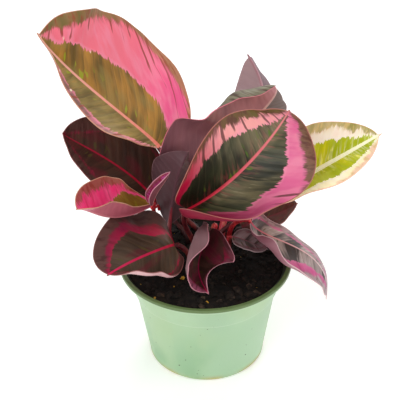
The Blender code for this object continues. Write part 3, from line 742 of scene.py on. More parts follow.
# %% Leaf measures
LEAVES = {
    # rib: four points along the midrib, from base to tip
    # face: heading and lift of the upper side in degrees, at even steps along the rib
    # half: greatest width of the left and the right half
    # outline: where the oval is widest and how full it is
    # slim: share of the rib up to which each half is slimmer
    # fold, curl, roll: degrees at even steps along the rib, for the left and the right half
    # lead: direction in which the stem arrives, where it isn't worked out from the blade
    # root: where the stem leaves the soil, or start: where it leaves another stem
    # stem: radius at the soil and under the blade
    "01": dict(  # tall painted leaf, upper left
        rib=((-27, 24, 135), (-45, 28, 152), (-73.5, 22, 184.5), (-90, 4, 219)),
        face=((-53, 53), (-56, 48), (-65, 56)),
        half=(31, 59.5), outline=(0.74, 0.58), slim=(0.5, 0),
        fold=((14, 34, 25, 34), (5, 6, 4, 6, 13, 33, 27)),
        curl=((2, -2), (-17, -10)),
        lead=(-0.25, -0.45, 0.85), root=(-14, 31), stem=(1.9, 1.5)),
    "02": dict(  # dark leaf, far left
        rib=((-31, 32, 91), (-52, 29, 118), (-74, 25, 137), (-84, 17, 150)),
        face=((-94, 44), (-93, 46), (-94, 46)),
        half=(23, 25), outline=(0.74, 0.62),
        fold=((19, 25, 27), (10, 9, 10)),
        curl=((6, 11), (-1, -2)),
        root=(-11, 20), stem=(1.7, 1.3)),
    "03": dict(  # cupped pink leaf on the left
        rib=((-33, 6, 105), (-53, -8, 106), (-65, -20, 117), (-73, -32, 127)),
        face=((-68, 68), (-93, 78), (-60, 69)),
        half=(13, 24), outline=(0.85, 0.6),
        fold=((78, 81, 42), (41, 41, 20)),
        curl=((-18, -20), (35, 28)),
        lead=(0.3, -0.6, 0.7), root=(-26, 14), stem=(1.5, 1.1)),
    "04": dict(  # broad dark leaf over the front left of the lip
        rib=((-19, -13, 88), (-28.5, -18, 88), (-43, -28, 87.5), (-57, -47, 91)),
        face=((-103, 70), (-114, 74), (-97, 71), (-110, 67)),
        half=(28, 33), outline=(0.89, 0.45),
        fold=((-9, -17, 2, 13), (30, 0, 11, -7)),
        curl=((19, 17), (5, 21)), roll=((66, 68, 37), (0, 0)),
        root=(-9, -7), stem=(1.8, 1.4)),
    "05": dict(  # large painted leaf in the middle, facing the viewer
        rib=((-10, -11, 112), (19, -12, 136), (39, -7, 158), (48, -12, 177)),
        face=((-68, 26), (-89, 45), (-88, 36)),
        half=(33, 40), outline=(0.71, 0.48),
        fold=((36, 30, 20, 17), (80, 20, -8, -5)),
        curl=((24, 12), (45, 24)), roll=((0, 0), (104, 8, 16)),
        lead=(0.2, -0.1, 0.95), root=(-6, 4), stem=(1.8, 1.4)),
    "06": dict(  # lime leaf on the right
        rib=((37, 25, 94), (58, 18, 112), (80, 9, 133), (104, 2, 154)),
        face=((-106, 69), (-90, 65), (-104, 56)),
        half=(30, 32), outline=(0.85, 0.6),
        fold=((16, 21, 8), (29, 30, 13)),
        curl=((6, 2), (21, 0)),
        root=(5, 12), stem=(1.8, 1.4)),
    "07": dict(  # back leaf, seen from below
        rib=((28, 67, 92), (38, 74, 120), (40, 77, 145), (29, 77, 173)),
        face=((66, 17), (80, 9), (94, 12)),
        half=(24, 26), outline=(0.87, 0.61),
        fold=((50, 70, 89), (37, 32, 28)),
        curl=((8, 30), (3, -6)),
        lead=(0.25, 0.6, 0.4), root=(10.5, 21), stem=(2.3, 1.5)),
    "08": dict(  # large plum leaf behind the middle, its right edge rolled over
        rib=((-12, 19, 98), (12, 28, 129), (36, 31, 155.5), (44, 37, 168)),
        face=((80, 6), (97, 19), (92, 14), (99, 23)),
        half=(38, 43.5), outline=(0.87, 0.55),
        fold=((22, 25, 32, 27), (9, 2, 8, -18, 0, -8, -25)),
        curl=((5, 8), (-5, -28)), roll=((0, 0), (0, 0, 0, 0, -101, -148, -148)),
        root=(-1, 20), stem=(1.8, 1.4)),
    "09": dict(  # upright plum leaf, middle left
        rib=((-22, 6, 91), (-18, 9, 114), (-14, 10, 128), (-9, 16, 137)),
        face=((89, 19), (92, 20), (97, 20)),
        half=(20, 20), outline=(0.87, 0.62),
        fold=((35, 35, 35), (47, 44, 39)),
        curl=((0, 0), (8, 4)),
        root=(-19.5, 4), stem=(1.7, 1.4)),
    "10": dict(  # folded leaf hanging at the front
        rib=((4, -9, 97), (-3, -25, 89), (-4, -34, 81.5), (1.5, -44, 74)),
        face=((-145, 65), (-85, 70), (-80, 53), (-79, 65)),
        half=(24.5, 33.5), outline=(0.88, 0.7),
        fold=((19, 35, 92), (47, 42, 27)),
        curl=((8, -9, 15, 19), (128, 121, 65, 22)),
        root=(2, -1), stem=(1.5, 1.2)),
    "11": dict(  # long leaf drooping over the right of the lip
        rib=((28, -6, 99), (44, -7, 87), (66, -13, 76), (75, -18, 48)),
        face=((-93, 55), (-98, 77), (-14, 83), (76, 85)),
        half=(23, 29), outline=(0.84, 0.62),
        fold=((-16, -22, -13), (26, -10, -2)),
        curl=((-9, -9, -4, -1), (58, 59, 22, 13)), roll=((0, 0), (67, 41, 11)),
        lead=(0.75, -0.5, 0.4), root=(15, 12), stem=(1.7, 1.4)),
    "12": dict(  # low dark leaf at the back right
        rib=((24, 26, 74), (37, 30, 77), (50, 31, 82), (60, 29, 90)),
        face=((-90, 59), (-95, 76), (-92, 70)),
        half=(15, 16), outline=(0.86, 0.62),
        fold=((3, -3, -1), (14, 17, 19)),
        curl=((-7, -9), (4, 6)),
        root=(20, 25), stem=(1.4, 1.1)),
    "13": dict(  # small leaf low on the right
        rib=((17, 2, 83), (24, 0, 82), (31, -1, 79), (39, -2, 76)),
        face=((-75, 70), (-66, 77), (-73, 70)),
        half=(9, 9), outline=(0.86, 0.62),
        fold=((8, 7, 9), (10, 13, 11)),
        curl=((-2, -1), (1, 1)),
        lead=(0.2, -0.1, 0.9), root=(16, 3), stem=(1.2, 0.9)),
    "14": dict(  # young leaf still rolled, off the stem of leaf 03
        rib=((-31.5, -4, 111.5), (-28.5, -5.5, 120), (-24, -6.5, 128), (-20, -7, 136)),
        face=((-125, 33), (-121, 31), (-125, 33)),
        half=(7, 7), outline=(0.86, 0.62),
        fold=((50, 60, 49), (70, 88, 75)),
        curl=((7, 8), (5, 8)),
        lead=(-0.15, -0.5, 0.9), start=(-28.2, 10.4, 98.5), stem=(0.9, 0.8)),
    "15": dict(  # low dark leaf behind the stems
        rib=((-8, 41, 72), (-8, 46, 86), (-6, 50, 100), (-2, 54, 112)),
        face=((-90, 40), (-92, 44), (-95, 46)),
        half=(20, 16), outline=(0.7, 0.45),
        fold=((12, 14, 12), (10, 12, 10)),
        curl=((4, 6), (6, 4)),
        root=(-5, 36), stem=(1.4, 1.1)),
}
print(len(LEAVES), "leaves")

# %% [markdown]
# A cubic curve that passes four points at even shares has two handles that follow from
# those points. It gives the rib's place and heading, and together with the way the upper
# side looks it gives a small frame of three directions at any share of the blade's length.
# A curve object could draw the rib, but the rows, veins and stems ask for its place at any
# share, so it is worked out in code.

# %% Rib and frame
STEADY = (0.05, 0.9)


def value_at(values, share, ease=True):
    """Value at a share of the way along evenly spaced values, eased or in straight runs."""
    place = min(max(share, 0.0), 1.0) * (len(values) - 1)
    index = min(int(place), len(values) - 2)
    part = place - index
    if ease:
        part = part * part * (3 - 2 * part)
    return values[index] * (1 - part) + values[index + 1] * part


def direction(heading, lift):
    heading, lift = math.radians(heading), math.radians(lift)
    level = math.cos(lift)
    return Vector((level * math.cos(heading), level * math.sin(heading), math.sin(lift)))


def rib_controls(points):
    """Ends and handles of the cubic curve that passes four points at equal shares."""
    a, b, c, d = (Vector(point) for point in points)
    return a, (18 * b - 5 * a - 9 * c + 2 * d) / 6, (2 * a - 9 * b + 18 * c - 5 * d) / 6, d


def curve_point(controls, share):
    a, b, c, d = controls
    rest = 1 - share
    return (a * rest ** 3 + b * (3 * rest ** 2 * share)
            + c * (3 * rest * share ** 2) + d * share ** 3)


def curve_heading(controls, share):
    a, b, c, d = controls
    rest = 1 - share
    slope = (b - a) * rest ** 2 + (c - b) * (2 * rest * share) + (d - c) * share ** 2
    return slope.normalized()


def curve_length(controls, steps):
    places = [curve_point(controls, index / steps) for index in range(steps + 1)]
    return sum((ahead - here).length for here, ahead in zip(places, places[1:]))


def row_frame(leaf, share):
    """Rib point, across to the right and up from the upper face, at a share of the rib."""
    controls = rib_controls(leaf["rib"])
    steady = min(max(share, STEADY[0]), STEADY[1])
    along = curve_heading(controls, steady)
    face = value_at([direction(*aim) for aim in leaf["face"]], steady)
    face = (face - along * face.dot(along)).normalized()
    return curve_point(controls, share), along.cross(face), face


print("rib of leaf 01 starts at", row_frame(LEAVES["01"], 0.0)[0])

# %% [markdown]
# From above, a blade is an oval with a short drawn-out tip. Where one half is slim at its
# base, it reaches its full width only some way up the rib. A drawn outline would take many
# points a leaf, and a formula with a few sizes keeps every edge smooth. The rows are spaced
# evenly round the wider edge, and the columns lie closer together at the rib.

# %% Blade outline
BODY_END = 0.97
TIP_START = 0.86
TIP_WIDTH = 0.16
TIP_HOLLOW = 1.25
END_WIDTH = 0.045
TIP_TAPER = 0.035
SLIM_BASE = 0.2
ROWS = 84
COLUMNS = 18
COLUMN_CROWD = 1.25
EDGE_STEPS = 800


def outline(share, skew, full):
    """Half width as a share of the widest: an oval body that ends in a short point."""
    body = max(0.0, math.sin(math.pi * min(share / BODY_END, 1.0) ** skew)) ** full
    if share > TIP_START:
        left = (1 - share) / (1 - TIP_START)
        body = max(body, TIP_WIDTH * left ** TIP_HOLLOW)
    return max(body, END_WIDTH - TIP_TAPER * share)


def half_width(leaf, share, side):
    """Width of one half, which a slim half reaches only at its slim share of the rib."""
    width = leaf["half"][side] * outline(share, *leaf["outline"])
    slim = leaf["slim"][side] if "slim" in leaf else 0.0
    if share < slim:
        width *= value_at((SLIM_BASE, 1.0), share / slim)
    return width


def row_shares(leaf):
    """Shares of the rib at even steps round the blade's wider edge."""
    controls = rib_controls(leaf["rib"])
    wide = max(leaf["half"])
    run = [0.0]
    here, width = curve_point(controls, 0), wide * outline(0, *leaf["outline"])
    for index in range(1, EDGE_STEPS + 1):
        share = index / EDGE_STEPS
        ahead = curve_point(controls, share)
        next_width = wide * outline(share, *leaf["outline"])
        run.append(run[-1] + math.hypot((ahead - here).length, next_width - width))
        here, width = ahead, next_width
    shares = []
    index = 0
    for row in range(ROWS + 1):
        while index < EDGE_STEPS and run[index] < run[-1] * row / ROWS:
            index += 1
        shares.append(index / EDGE_STEPS)
    return shares


def column_reaches():
    """Shares of the half width, closer together at the rib."""
    return [((index + 1) / COLUMNS) ** COLUMN_CROWD for index in range(COLUMNS)]


print("reaches", [round(reach, 3) for reach in column_reaches()[:4]])

# %% [markdown]
# Across a blade, the surface is walked outwards in small steps whose slope grows as the half
# folds, curls and rolls, and its edge is gently waved. A Simple Deform modifier could bend a
# sheet, but here each half has its own angles, which change along the rib. A raised rib runs
# down the underside and fades towards the tip.

# %% Blade surface
BLADE = 0.5
RIB_DEPTH = 1.5
RIB_SPREAD = 1.1
WAVE_SHARE = 0.018
WAVES = 3.5
WAVE_FADE = 0.15
ROLL_START = 0.6
FULL_BEND = 16.0
SMALL_HALF = 26
WALK_STEPS = 4


def half_row(leaf, share, side):
    """Upper point, outward normal and reach, across one half from the rib to the edge."""
    rib, across, face = row_frame(leaf, share)
    across = across if side else -across
    width = half_width(leaf, share, side)
    fold = math.radians(value_at(leaf["fold"][side], share))
    bend = math.radians(min(1.0, width / FULL_BEND))
    curl = bend * value_at(leaf["curl"][side], share)
    roll = bend * value_at(leaf["roll"][side], share) if "roll" in leaf else 0.0
    wave = leaf["half"][side] * WAVE_SHARE * math.sin(2 * math.pi * WAVES * share + 2 * side)
    wave *= min(1.0, share / WAVE_FADE, (1 - share) / WAVE_FADE)
    out = up = before = 0.0
    points = []
    for reach in column_reaches():
        stride = (reach - before) / WALK_STEPS
        for index in range(WALK_STEPS):
            middle = before + (index + 0.5) * stride
            rolled = max(0.0, (middle - ROLL_START) / (1 - ROLL_START))
            slope = fold + curl * middle + roll * rolled
            out += math.cos(slope) * stride
            up += math.sin(slope) * stride
        before = reach
        lift = up * width + wave * reach ** 2
        upper = rib + across * out * width + face * lift
        outward = face * math.cos(slope) - across * math.sin(slope)
        points.append((upper, outward, reach * width, width))
    return points


def rib_depth(leaf, share, away):
    """How far the underside lies below the upper face, with the raised rib."""
    rib = (RIB_DEPTH - BLADE) * min(1.0, max(leaf["half"]) / SMALL_HALF) * (1 - share)
    return BLADE + rib * math.exp(-(away / RIB_SPREAD) ** 2)


print("leaf 01 is", round(rib_depth(LEAVES["01"], 0.0, 0.0), 2), "thick at its base")

# %% [markdown]
# The colours follow the blade and not the room, so every point of a blade carries its own
# measures: how far along and out it lies, where it sits across the side veins, and how far
# it is from the edge of the dark middle, from the inside of the border and from the margin.
# Each half's middle and border are given by five widths from base to tip. A painted picture
# could do the same, but measures stay sharp from close by.

# %% Colour zones of each leaf
ZONES = {
    # middle and border as shares of the half width, at five even steps from base to tip,
    # first for the left half and then for the right
    "01": dict(
        middle=((0.8, 0.85, 0.85, 0.65, 0.05), (0.3, 0.42, 0.44, 0.36, 0.0)),
        border=((1.1, 1.1, 1.1, 1.05, 0.5), (0.95, 0.88, 0.96, 0.86, 0.3))),
    "02": dict(
        middle=((0.95, 0.9, 0.72, 0.4, 0.0), (0.95, 0.9, 0.66, 0.32, 0.0)),
        border=((1.0, 0.95, 0.8, 0.48, 0.1), (1.0, 0.95, 0.74, 0.4, 0.1))),
    "03": dict(
        middle=((0.9, 0.85, 0.6, 0.1, -0.1), (0.95, 0.62, 0.2, -0.1, -0.1)),
        border=((1.1, 1.1, 1.1, 1.1, 0.9), (0.85, 0.87, 0.82, 0.6, 0.4))),
    "04": dict(
        middle=((0.6, 0.62, 0.7, 0.58, 0.0), (0.3, 0.35, 0.6, 0.5, 0.0)),
        border=((0.66, 0.7, 0.78, 0.66, 0.1), (0.5, 0.65, 0.85, 0.7, 0.15))),
    "05": dict(
        middle=((0.75, 0.7, 0.58, 0.24, -0.1), (0.3, 0.55, 0.57, 0.22, -0.1)),
        border=((1.1, 0.94, 0.88, 0.67, 0.25), (1.1, 1.1, 1.1, 0.64, 0.3))),
    "06": dict(
        middle=((0.6, 0.62, 0.58, 0.48, 0.25), (0.85, 0.82, 0.73, 0.62, 0.3)),
        border=((0.9, 0.82, 0.82, 0.76, 0.5), (1.1, 1.1, 1.1, 0.95, 0.4))),
    "08": dict(
        middle=((0.7, 0.76, 0.68, 0.44, 0.0), (0.5, 0.5, 0.5, 0.4, 0.0)),
        border=((0.7, 0.76, 0.68, 0.44, 0.0), (0.5, 0.5, 0.5, 0.4, 0.0))),
    "11": dict(
        middle=((0.55, 0.55, 0.48, 0.34, 0.0), (0.5, 0.5, 0.45, 0.3, 0.0)),
        border=((0.62, 0.64, 0.62, 0.5, 0.1), (0.8, 0.8, 0.75, 0.56, 0.1))),
    "plain": dict(
        middle=((0.7, 0.76, 0.68, 0.44, 0.0), (0.7, 0.76, 0.68, 0.44, 0.0)),
        border=((0.78, 0.84, 0.76, 0.54, 0.1), (0.78, 0.84, 0.76, 0.54, 0.1))),
}
print("zones for", len(ZONES) - 1, "leaves of their own")

# %% Measures of a point
VEIN_SLANT = 0.55
VEIN_SWEEP = 0.006
RIB_STEPS = 40
SIDE_SHIFT = 40
LEAF_SHIFT = 7


def point_measures(number, leaf, share, side, away, width):
    """What a blade's point knows of its place, all in millimetres but the share."""
    zones = ZONES.get(number, ZONES["plain"])
    middle = value_at(zones["middle"][side], share, ease=False) * width - away
    border = away - value_at(zones["border"][side], share, ease=False) * width
    length = curve_length(rib_controls(leaf["rib"]), RIB_STEPS)
    vein = share * length - VEIN_SLANT * away - VEIN_SWEEP * away ** 2
    shift = SIDE_SHIFT * side + LEAF_SHIFT * int(number)
    return (vein, away, shift), (middle, border, width - away), (share, away, side)


print("measures at the base of leaf 06", point_measures("06", LEAVES["06"], 0.0, 1, 0.0, 5.0))

# %% [markdown]
# A blade starts as a flat grid. Extruding the grid in edit mode gives it an underside and a
# thin edge, then each vertex goes to its place, with the tip's row gathered to a point.
# A Solidify modifier would do for a flat leaf, but here its averaged directions cross where
# a half is rolled tightly, so both faces are placed by their own sums.

# %% Flat blade
def flat_blade(name):
    """A grid two units wide, extruded onto itself: the new vertices stay selected."""
    bpy.ops.object.select_all(action="DESELECT")
    bpy.ops.mesh.primitive_grid_add(
        x_subdivisions=2 * COLUMNS, y_subdivisions=ROWS, size=2)
    blade = bpy.context.object
    blade.name = name
    bpy.ops.object.mode_set(mode="EDIT")
    bpy.ops.mesh.select_all(action="SELECT")
    bpy.ops.mesh.extrude_region()
    bpy.ops.object.mode_set(mode="OBJECT")
    return blade


print(ROWS, "rows and", 2 * COLUMNS, "columns in a flat blade")

# %% Place the blades
def blade_row(number, leaf, share):
    """Upper and under point and measures, from the left edge over the rib to the right."""
    rib, _, face = row_frame(leaf, share)
    points = [(0, *point) for point in reversed(half_row(leaf, share, 0))]
    points.append((1, rib, face, 0.0, half_width(leaf, share, 1)))
    points += [(1, *point) for point in half_row(leaf, share, 1)]
    row = []
    for side, upper, outward, away, width in points:
        under = upper - outward * rib_depth(leaf, share, away)
        row.append((upper, under, point_measures(number, leaf, share, side, away, width)))
    return row


def make_blade(number, leaf):
    blade = flat_blade("blade_" + number)
    mesh = blade.data
    grid = [blade_row(number, leaf, share) for share in row_shares(leaf)]
    values = {"vein": [], "zones": [], "place": [], "upper": []}
    tip = []
    for vertex in mesh.vertices:
        column = round((vertex.co.x + 1) * COLUMNS)
        row = round((vertex.co.y + 1) / 2 * ROWS)
        upper, under, marks = grid[row][column]
        if row == ROWS:
            upper, under, _ = grid[row][COLUMNS]
            tip.append(vertex.index)
        vertex.co = (upper if vertex.select else under) * MM
        values["upper"].append(float(vertex.select))
        for name, mark in zip(("vein", "zones", "place"), marks):
            values[name].extend(mark)
    for name, numbers in values.items():
        kind, field = ("FLOAT", "value") if name == "upper" else ("FLOAT_VECTOR", "vector")
        mesh.attributes.new(name, kind, "POINT").data.foreach_set(field, numbers)
    for vertex in mesh.vertices:
        vertex.select = vertex.index in tip
    bpy.ops.object.mode_set(mode="EDIT")
    bpy.ops.mesh.select_mode(type="VERT")
    bpy.ops.mesh.remove_doubles(threshold=0.01 * MM)
    bpy.ops.object.mode_set(mode="OBJECT")
    bpy.ops.object.shade_smooth_by_angle(angle=math.radians(60))
    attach(blade, "root")
    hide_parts("leaf_" + number)
    return blade


blades = {number: make_blade(number, leaf) for number, leaf in LEAVES.items()}
print("blades", sum(len(blade.data.polygons) for blade in blades.values()), "faces")

# %% [markdown]
# The colours come from a palette for each leaf, because young leaves are bright and old ones
# nearly brown. A palette starts from one of two common ones, dark or rose. Three numbers are
# a colour, and a pair of colours runs from base to tip. A name that ends in _left is a pair
# for the left half alone.

# %% Common palettes
def painted(value):
    """Linear values for a colour or a pair of colours. Other numbers stay as they are."""
    if isinstance(value, tuple) and len(value) == 3:
        return paint(*value)
    if isinstance(value, tuple) and isinstance(value[0], tuple):
        return tuple(paint(*colour) for colour in value)
    return value


def palette(base, **changes):
    """A copy of a palette with some of its entries changed."""
    return dict(base, **{name: painted(value) for name, value in changes.items()})


DARK = palette(
    {},
    # the middle's two tones, how softly they meet, and how each half lightens to the tip
    middle=((54, 34, 25), (92, 60, 44)), soft=0.18, lift=(0.0, 0.0),
    # on the middle: clouds of a tint, thin strokes, flecks beside the rib, and the veins
    tint=(108, 28, 42), stroke=(104, 74, 60), fleck=(84, 74, 34), vein=(40, 24, 20),
    # the band and how strongly it shows, its light clouds at base and tip, and cream spots
    band=((128, 14, 44), (136, 22, 54)), band_fade=0.6, band_light=(168, 30, 70),
    light=(0.5, 0.5), cream=0.0,
    # the streaks' colour and strength, the frayed outer edge and the toothed inner edge
    streak=(62, 26, 26), streaks=0.3, fringe=0.4, teeth=0.6,
    # the mottled border and the thin margin
    border=((70, 44, 36), (90, 58, 50)), margin=(150, 92, 88),
    # the rib, its half width at base and tip, its uneven edge and its side branches
    rib=((196, 14, 52), (176, 24, 62)), rib_width=(0.85, 0.3), feather=0.2, branch=0.0,
    # the underside, the surface's least roughness, its shine, and painted light through it
    under=((100, 56, 60), (140, 94, 98)), under_rib=(150, 80, 88),
    gloss=0.4, shine=0.3, glow=0.0)
ROSE = palette(
    DARK,
    middle=((104, 78, 20), (188, 132, 48)), soft=0.13, tint=(146, 126, 62),
    stroke=(196, 140, 66), fleck=(158, 168, 24), vein=(150, 92, 30),
    band=((250, 90, 146), (250, 116, 136)), band_fade=1.0, band_light=(255, 146, 170),
    light=(0.5, 0.6), cream=1.0, streak=(150, 56, 24), streaks=0.85, fringe=0.8, teeth=1.0,
    border=((204, 130, 100), (118, 98, 44)), margin=(206, 150, 122),
    rib=((244, 124, 104), (252, 190, 172)), rib_width=(1.5, 0.7), feather=0.3,
    under=((150, 100, 104), (176, 130, 132)), under_rib=(214, 150, 150),
    gloss=0.36, shine=0.35, glow=0.04)
print(len(DARK), "entries in a palette")

# %% Leaf palettes
PALETTES = {
    "01": palette(
        ROSE, middle_left=((102, 84, 34), (160, 136, 72)),
        band_left=((226, 160, 148), (132, 92, 84))),
    "02": DARK,
    "03": palette(
        ROSE, middle=((112, 78, 18), (144, 106, 36)), tint=(150, 100, 50),
        fleck=(140, 124, 30), band=((236, 20, 104), (252, 60, 130)),
        band_light=(255, 104, 156), cream=0.0, streak=(150, 50, 40), streaks=0.3,
        border=((150, 84, 60), (176, 84, 84)), rib=((196, 110, 60), (240, 70, 110)),
        rib_width=(0.5, 0.2), under=((186, 84, 104), (216, 128, 140)),
        under_rib=(220, 130, 140)),
    "04": palette(
        DARK, middle=((56, 42, 30), (98, 76, 58)), tint=(104, 22, 40),
        band=((158, 6, 46), (146, 12, 66)), band_fade=0.85, band_light=(190, 16, 70),
        border=((74, 44, 38), (100, 66, 60)), rib=((190, 14, 52), (222, 30, 92)),
        rib_width=(0.9, 0.9), under=((214, 160, 162), (228, 184, 186))),
    # leaf 05: its lift paints the middle lighter towards the tip, most on the left, as a
    # painted highlight from above
    "05": palette(
        ROSE, middle=((34, 36, 22), (116, 108, 78)), lift=(0.6, 0.2), tint=(50, 58, 34),
        stroke=(164, 154, 122), fleck=(84, 116, 28), vein=(104, 98, 70),
        band=((120, 8, 46), (230, 108, 154)), band_left=((190, 0, 56), (255, 172, 168)),
        band_light=(250, 156, 178), light=(0.0, 0.7), cream=0.0, streak=(92, 52, 46),
        border=((150, 100, 90), (122, 92, 66)), border_left=((120, 60, 50), (108, 96, 50)),
        margin=(176, 108, 96), rib=((220, 24, 66), (240, 150, 150)),
        rib_width=(1.35, 0.4), branch=0.15, under=((116, 14, 38), (200, 50, 90)),
        under_rib=(180, 40, 74)),
    # leaf 06 stands against the back lamp, and its emission is painted light through the
    # blade
    "06": palette(
        ROSE, middle=((164, 178, 0), (236, 226, 10)), soft=0.2, lift=(-0.5, -0.6),
        tint=(196, 206, 70), stroke=(244, 240, 120), fleck=(250, 244, 110),
        vein=(170, 180, 20), band=((252, 240, 120), (255, 246, 196)),
        band_left=((255, 232, 190), (255, 236, 214)), band_light=(255, 250, 226),
        cream=0.0, streak=(216, 188, 120), streaks=0.0, fringe=0.3,
        border=((255, 240, 186), (238, 196, 168)),
        border_left=((246, 216, 170), (156, 148, 76)), margin=(244, 196, 170),
        rib=((255, 252, 180), (255, 255, 220)), rib_width=(3.4, 0.8), feather=1.4,
        branch=0.3, under=((250, 172, 84), (222, 212, 132)), under_rib=(244, 232, 176),
        glow=0.16),
    "07": palette(
        DARK, margin=(160, 110, 120), under=((150, 114, 120), (192, 160, 164)),
        under_left=((92, 54, 64), (112, 72, 82)), under_rib=(186, 136, 144)),
    "08": palette(
        DARK, middle=((34, 38, 24), (94, 90, 68)), tint=(58, 62, 42),
        border=((84, 84, 64), (140, 132, 108)), margin=(232, 130, 146),
        under=((98, 54, 66), (204, 140, 146)), under_left=((60, 40, 36), (104, 78, 70)),
        under_rib=(214, 168, 164)),
    "09": palette(
        DARK, margin=(140, 104, 108), under=((78, 50, 54), (98, 66, 72)),
        under_rib=(96, 60, 68)),
    "10": palette(
        DARK, middle=((50, 34, 28), (94, 60, 52)), tint=(130, 16, 60),
        band=((110, 16, 40), (176, 20, 84)), light=(0.2, 0.8),
        border=((88, 44, 44), (150, 74, 100)), margin=(196, 132, 144),
        rib=((90, 26, 34), (206, 20, 96)), rib_width=(0.4, 0.5),
        under=((122, 90, 94), (154, 118, 122))),
    # leaf 11: the middle's pale tone and its pale strokes are painted glare on the dark
    # stripes
    "11": palette(
        DARK, middle=((50, 38, 38), (158, 142, 140)), soft=0.05, tint=(100, 80, 80),
        stroke=(214, 196, 198), band=((184, 36, 104), (200, 70, 136)), band_fade=0.9,
        band_light=(214, 110, 160), border=((130, 92, 98), (176, 152, 156)),
        margin=(224, 186, 190), rib=((190, 20, 70), (246, 226, 228)),
        rib_width=(0.7, 0.5), under=((150, 92, 104), (196, 146, 156)),
        under_rib=(206, 120, 140)),
    "12": palette(
        DARK, middle=((70, 34, 28), (92, 48, 40)), band_fade=0.25,
        rib=((110, 30, 40), (110, 40, 50))),
    "13": palette(
        DARK, middle=((78, 62, 62), (160, 138, 140)), soft=0.06, tint=(120, 90, 96),
        stroke=(200, 180, 184), band_fade=0.4, border=((110, 84, 88), (150, 126, 130)),
        margin=(206, 180, 182), rib=((150, 60, 80), (150, 110, 116)),
        rib_width=(0.4, 0.2)),
    "14": palette(
        ROSE, middle=((160, 24, 84), (196, 60, 134)), tint=(210, 120, 176),
        stroke=(226, 140, 196), fleck=(190, 40, 100), vein=(150, 20, 80),
        band=((186, 26, 92), (200, 40, 130)), band_light=(220, 110, 190), cream=0.0,
        border=((130, 50, 70), (160, 80, 96)), margin=(200, 136, 150),
        rib=((150, 30, 80), (170, 50, 100)), rib_width=(0.5, 0.3),
        under=((140, 78, 88), (170, 106, 118))),
    "15": palette(
        DARK, middle=((44, 22, 22), (66, 32, 32)), band_fade=0.3,
        border=((50, 28, 28), (62, 36, 36)), margin=(90, 46, 48),
        rib=((90, 16, 34), (100, 30, 44))),
}
print(len(PALETTES), "palettes")

# %% [markdown]
# The middle of a leaf shows broad soft bands along the side veins, a tint in clouds, thin
# lighter strokes and flecks beside the rib. The noise is stretched by three numbers: lumps
# per millimetre across the side veins, lumps per millimetre along them, and a third that
# only keeps one pattern from matching the next.

# %% Middle of a leaf
LOBE_SPACING = 7.5
LOBE_BEND = 9.0
LIFT_FROM = 0.45
FLECK_FADE = (14, 3)


def two_sided(finish, look, name, share, side):
    """The colours of a zone from base to tip, with another pair on the left where given."""
    tone = finish.mix(share, *look[name])
    if name + "_left" in look:
        tone = finish.mix(side, finish.mix(share, *look[name + "_left"]), tone)
    return tone


def middle_colour(finish, look, grain, place, line):
    """Broad soft bands along the side veins, a tint in clouds and flecks by the rib."""
    share, away, side = place
    across, _, _ = finish.parts(grain)
    cloud = finish.noise(grain, (0.07, 0.05, 1.0), 2)
    stripe = finish.noise(grain, (0.1, 0.022, 1.3), 2, 0.4)
    brush = finish.noise(grain, (0.8, 0.1, 1.9), 3, 0.6)
    haze = finish.noise(grain, (0.05, 0.07, 2.3), 2)
    spot = finish.noise(grain, (0.3, 0.12, 1.3), 1)
    bent = finish.plus(across, finish.wobble(cloud, LOBE_BEND))
    lobe = finish.sums("FRACT", finish.sums("DIVIDE", bent, LOBE_SPACING))
    bands = finish.blend((cloud, 0.42), (stripe, 0.38), (lobe, 0.08), (brush, 0.12))
    lift = finish.times(finish.ramp(side, look["lift"]), finish.minus(share, LIFT_FROM))
    light = finish.step(finish.plus(bands, lift), 0.5 - look["soft"], 0.5 + look["soft"])
    tone = two_sided(finish, look, "middle", light, side)
    tone = finish.lay(tone, look["tint"], finish.step(haze, 0.48, 0.66), 0.6)
    strokes = finish.times(finish.step(brush, 0.54, 0.68),
                           finish.step(finish.plus(cloud, lift), 0.5, 0.62))
    tone = finish.lay(tone, look["stroke"], strokes, 0.45)
    tone = finish.lay(tone, look["vein"], line, 0.14)
    near = finish.times(finish.step(spot, 0.64, 0.72), finish.step(away, *FLECK_FADE))
    return finish.lay(tone, look["fleck"], near, 0.8)


print("middles ready")

# %% [markdown]
# Outside the middle lies the painted band, pink or crimson. It has clouds of a lighter tone
# and a light rim, and a few long dark streaks run into it from the border along the side
# veins. Its outer edge is frayed, and the brightest leaves have cream spots along its inner
# edge.

# %% Band with its streaks
STREAK_SPACING = 9.0
STREAK_BEND = 9.0
STREAK_NEAR = 9.0
STREAK_FAR = 44.0
STREAK_POINT = 6.0
RIM_FADE = (-2.4, -0.4)
CREAM_FADE = (-5, -2)
FRINGE_FADE = (-5, 0.5)
CREAM = paint(255, 236, 206)


def streaks(finish, grain, border):
    """A few long dark lines that run in from the border along the side veins."""
    across, _, _ = finish.parts(grain)
    bend = finish.noise(grain, (0.05, 0.06, 5.0), 2)
    chance = finish.noise(grain, (0.09, 0.004, 3.1), 1)
    depth = finish.noise(grain, (0.08, 0.0, 7.0), 1)
    drawn = finish.plus(across, finish.wobble(bend, STREAK_BEND))
    line = finish.sums("PINGPONG", drawn, STREAK_SPACING / 2)
    start = finish.plus(finish.times(depth, -STREAK_FAR), STREAK_NEAR)
    reach = finish.step(finish.minus(border, start), 0.0, STREAK_POINT)
    width = finish.times(reach, finish.times(bend, 2.0))
    body = finish.step(finish.minus(line, width), 0.25, -0.45)
    return finish.times(body, finish.times(finish.step(chance, 0.46, 0.5), reach))


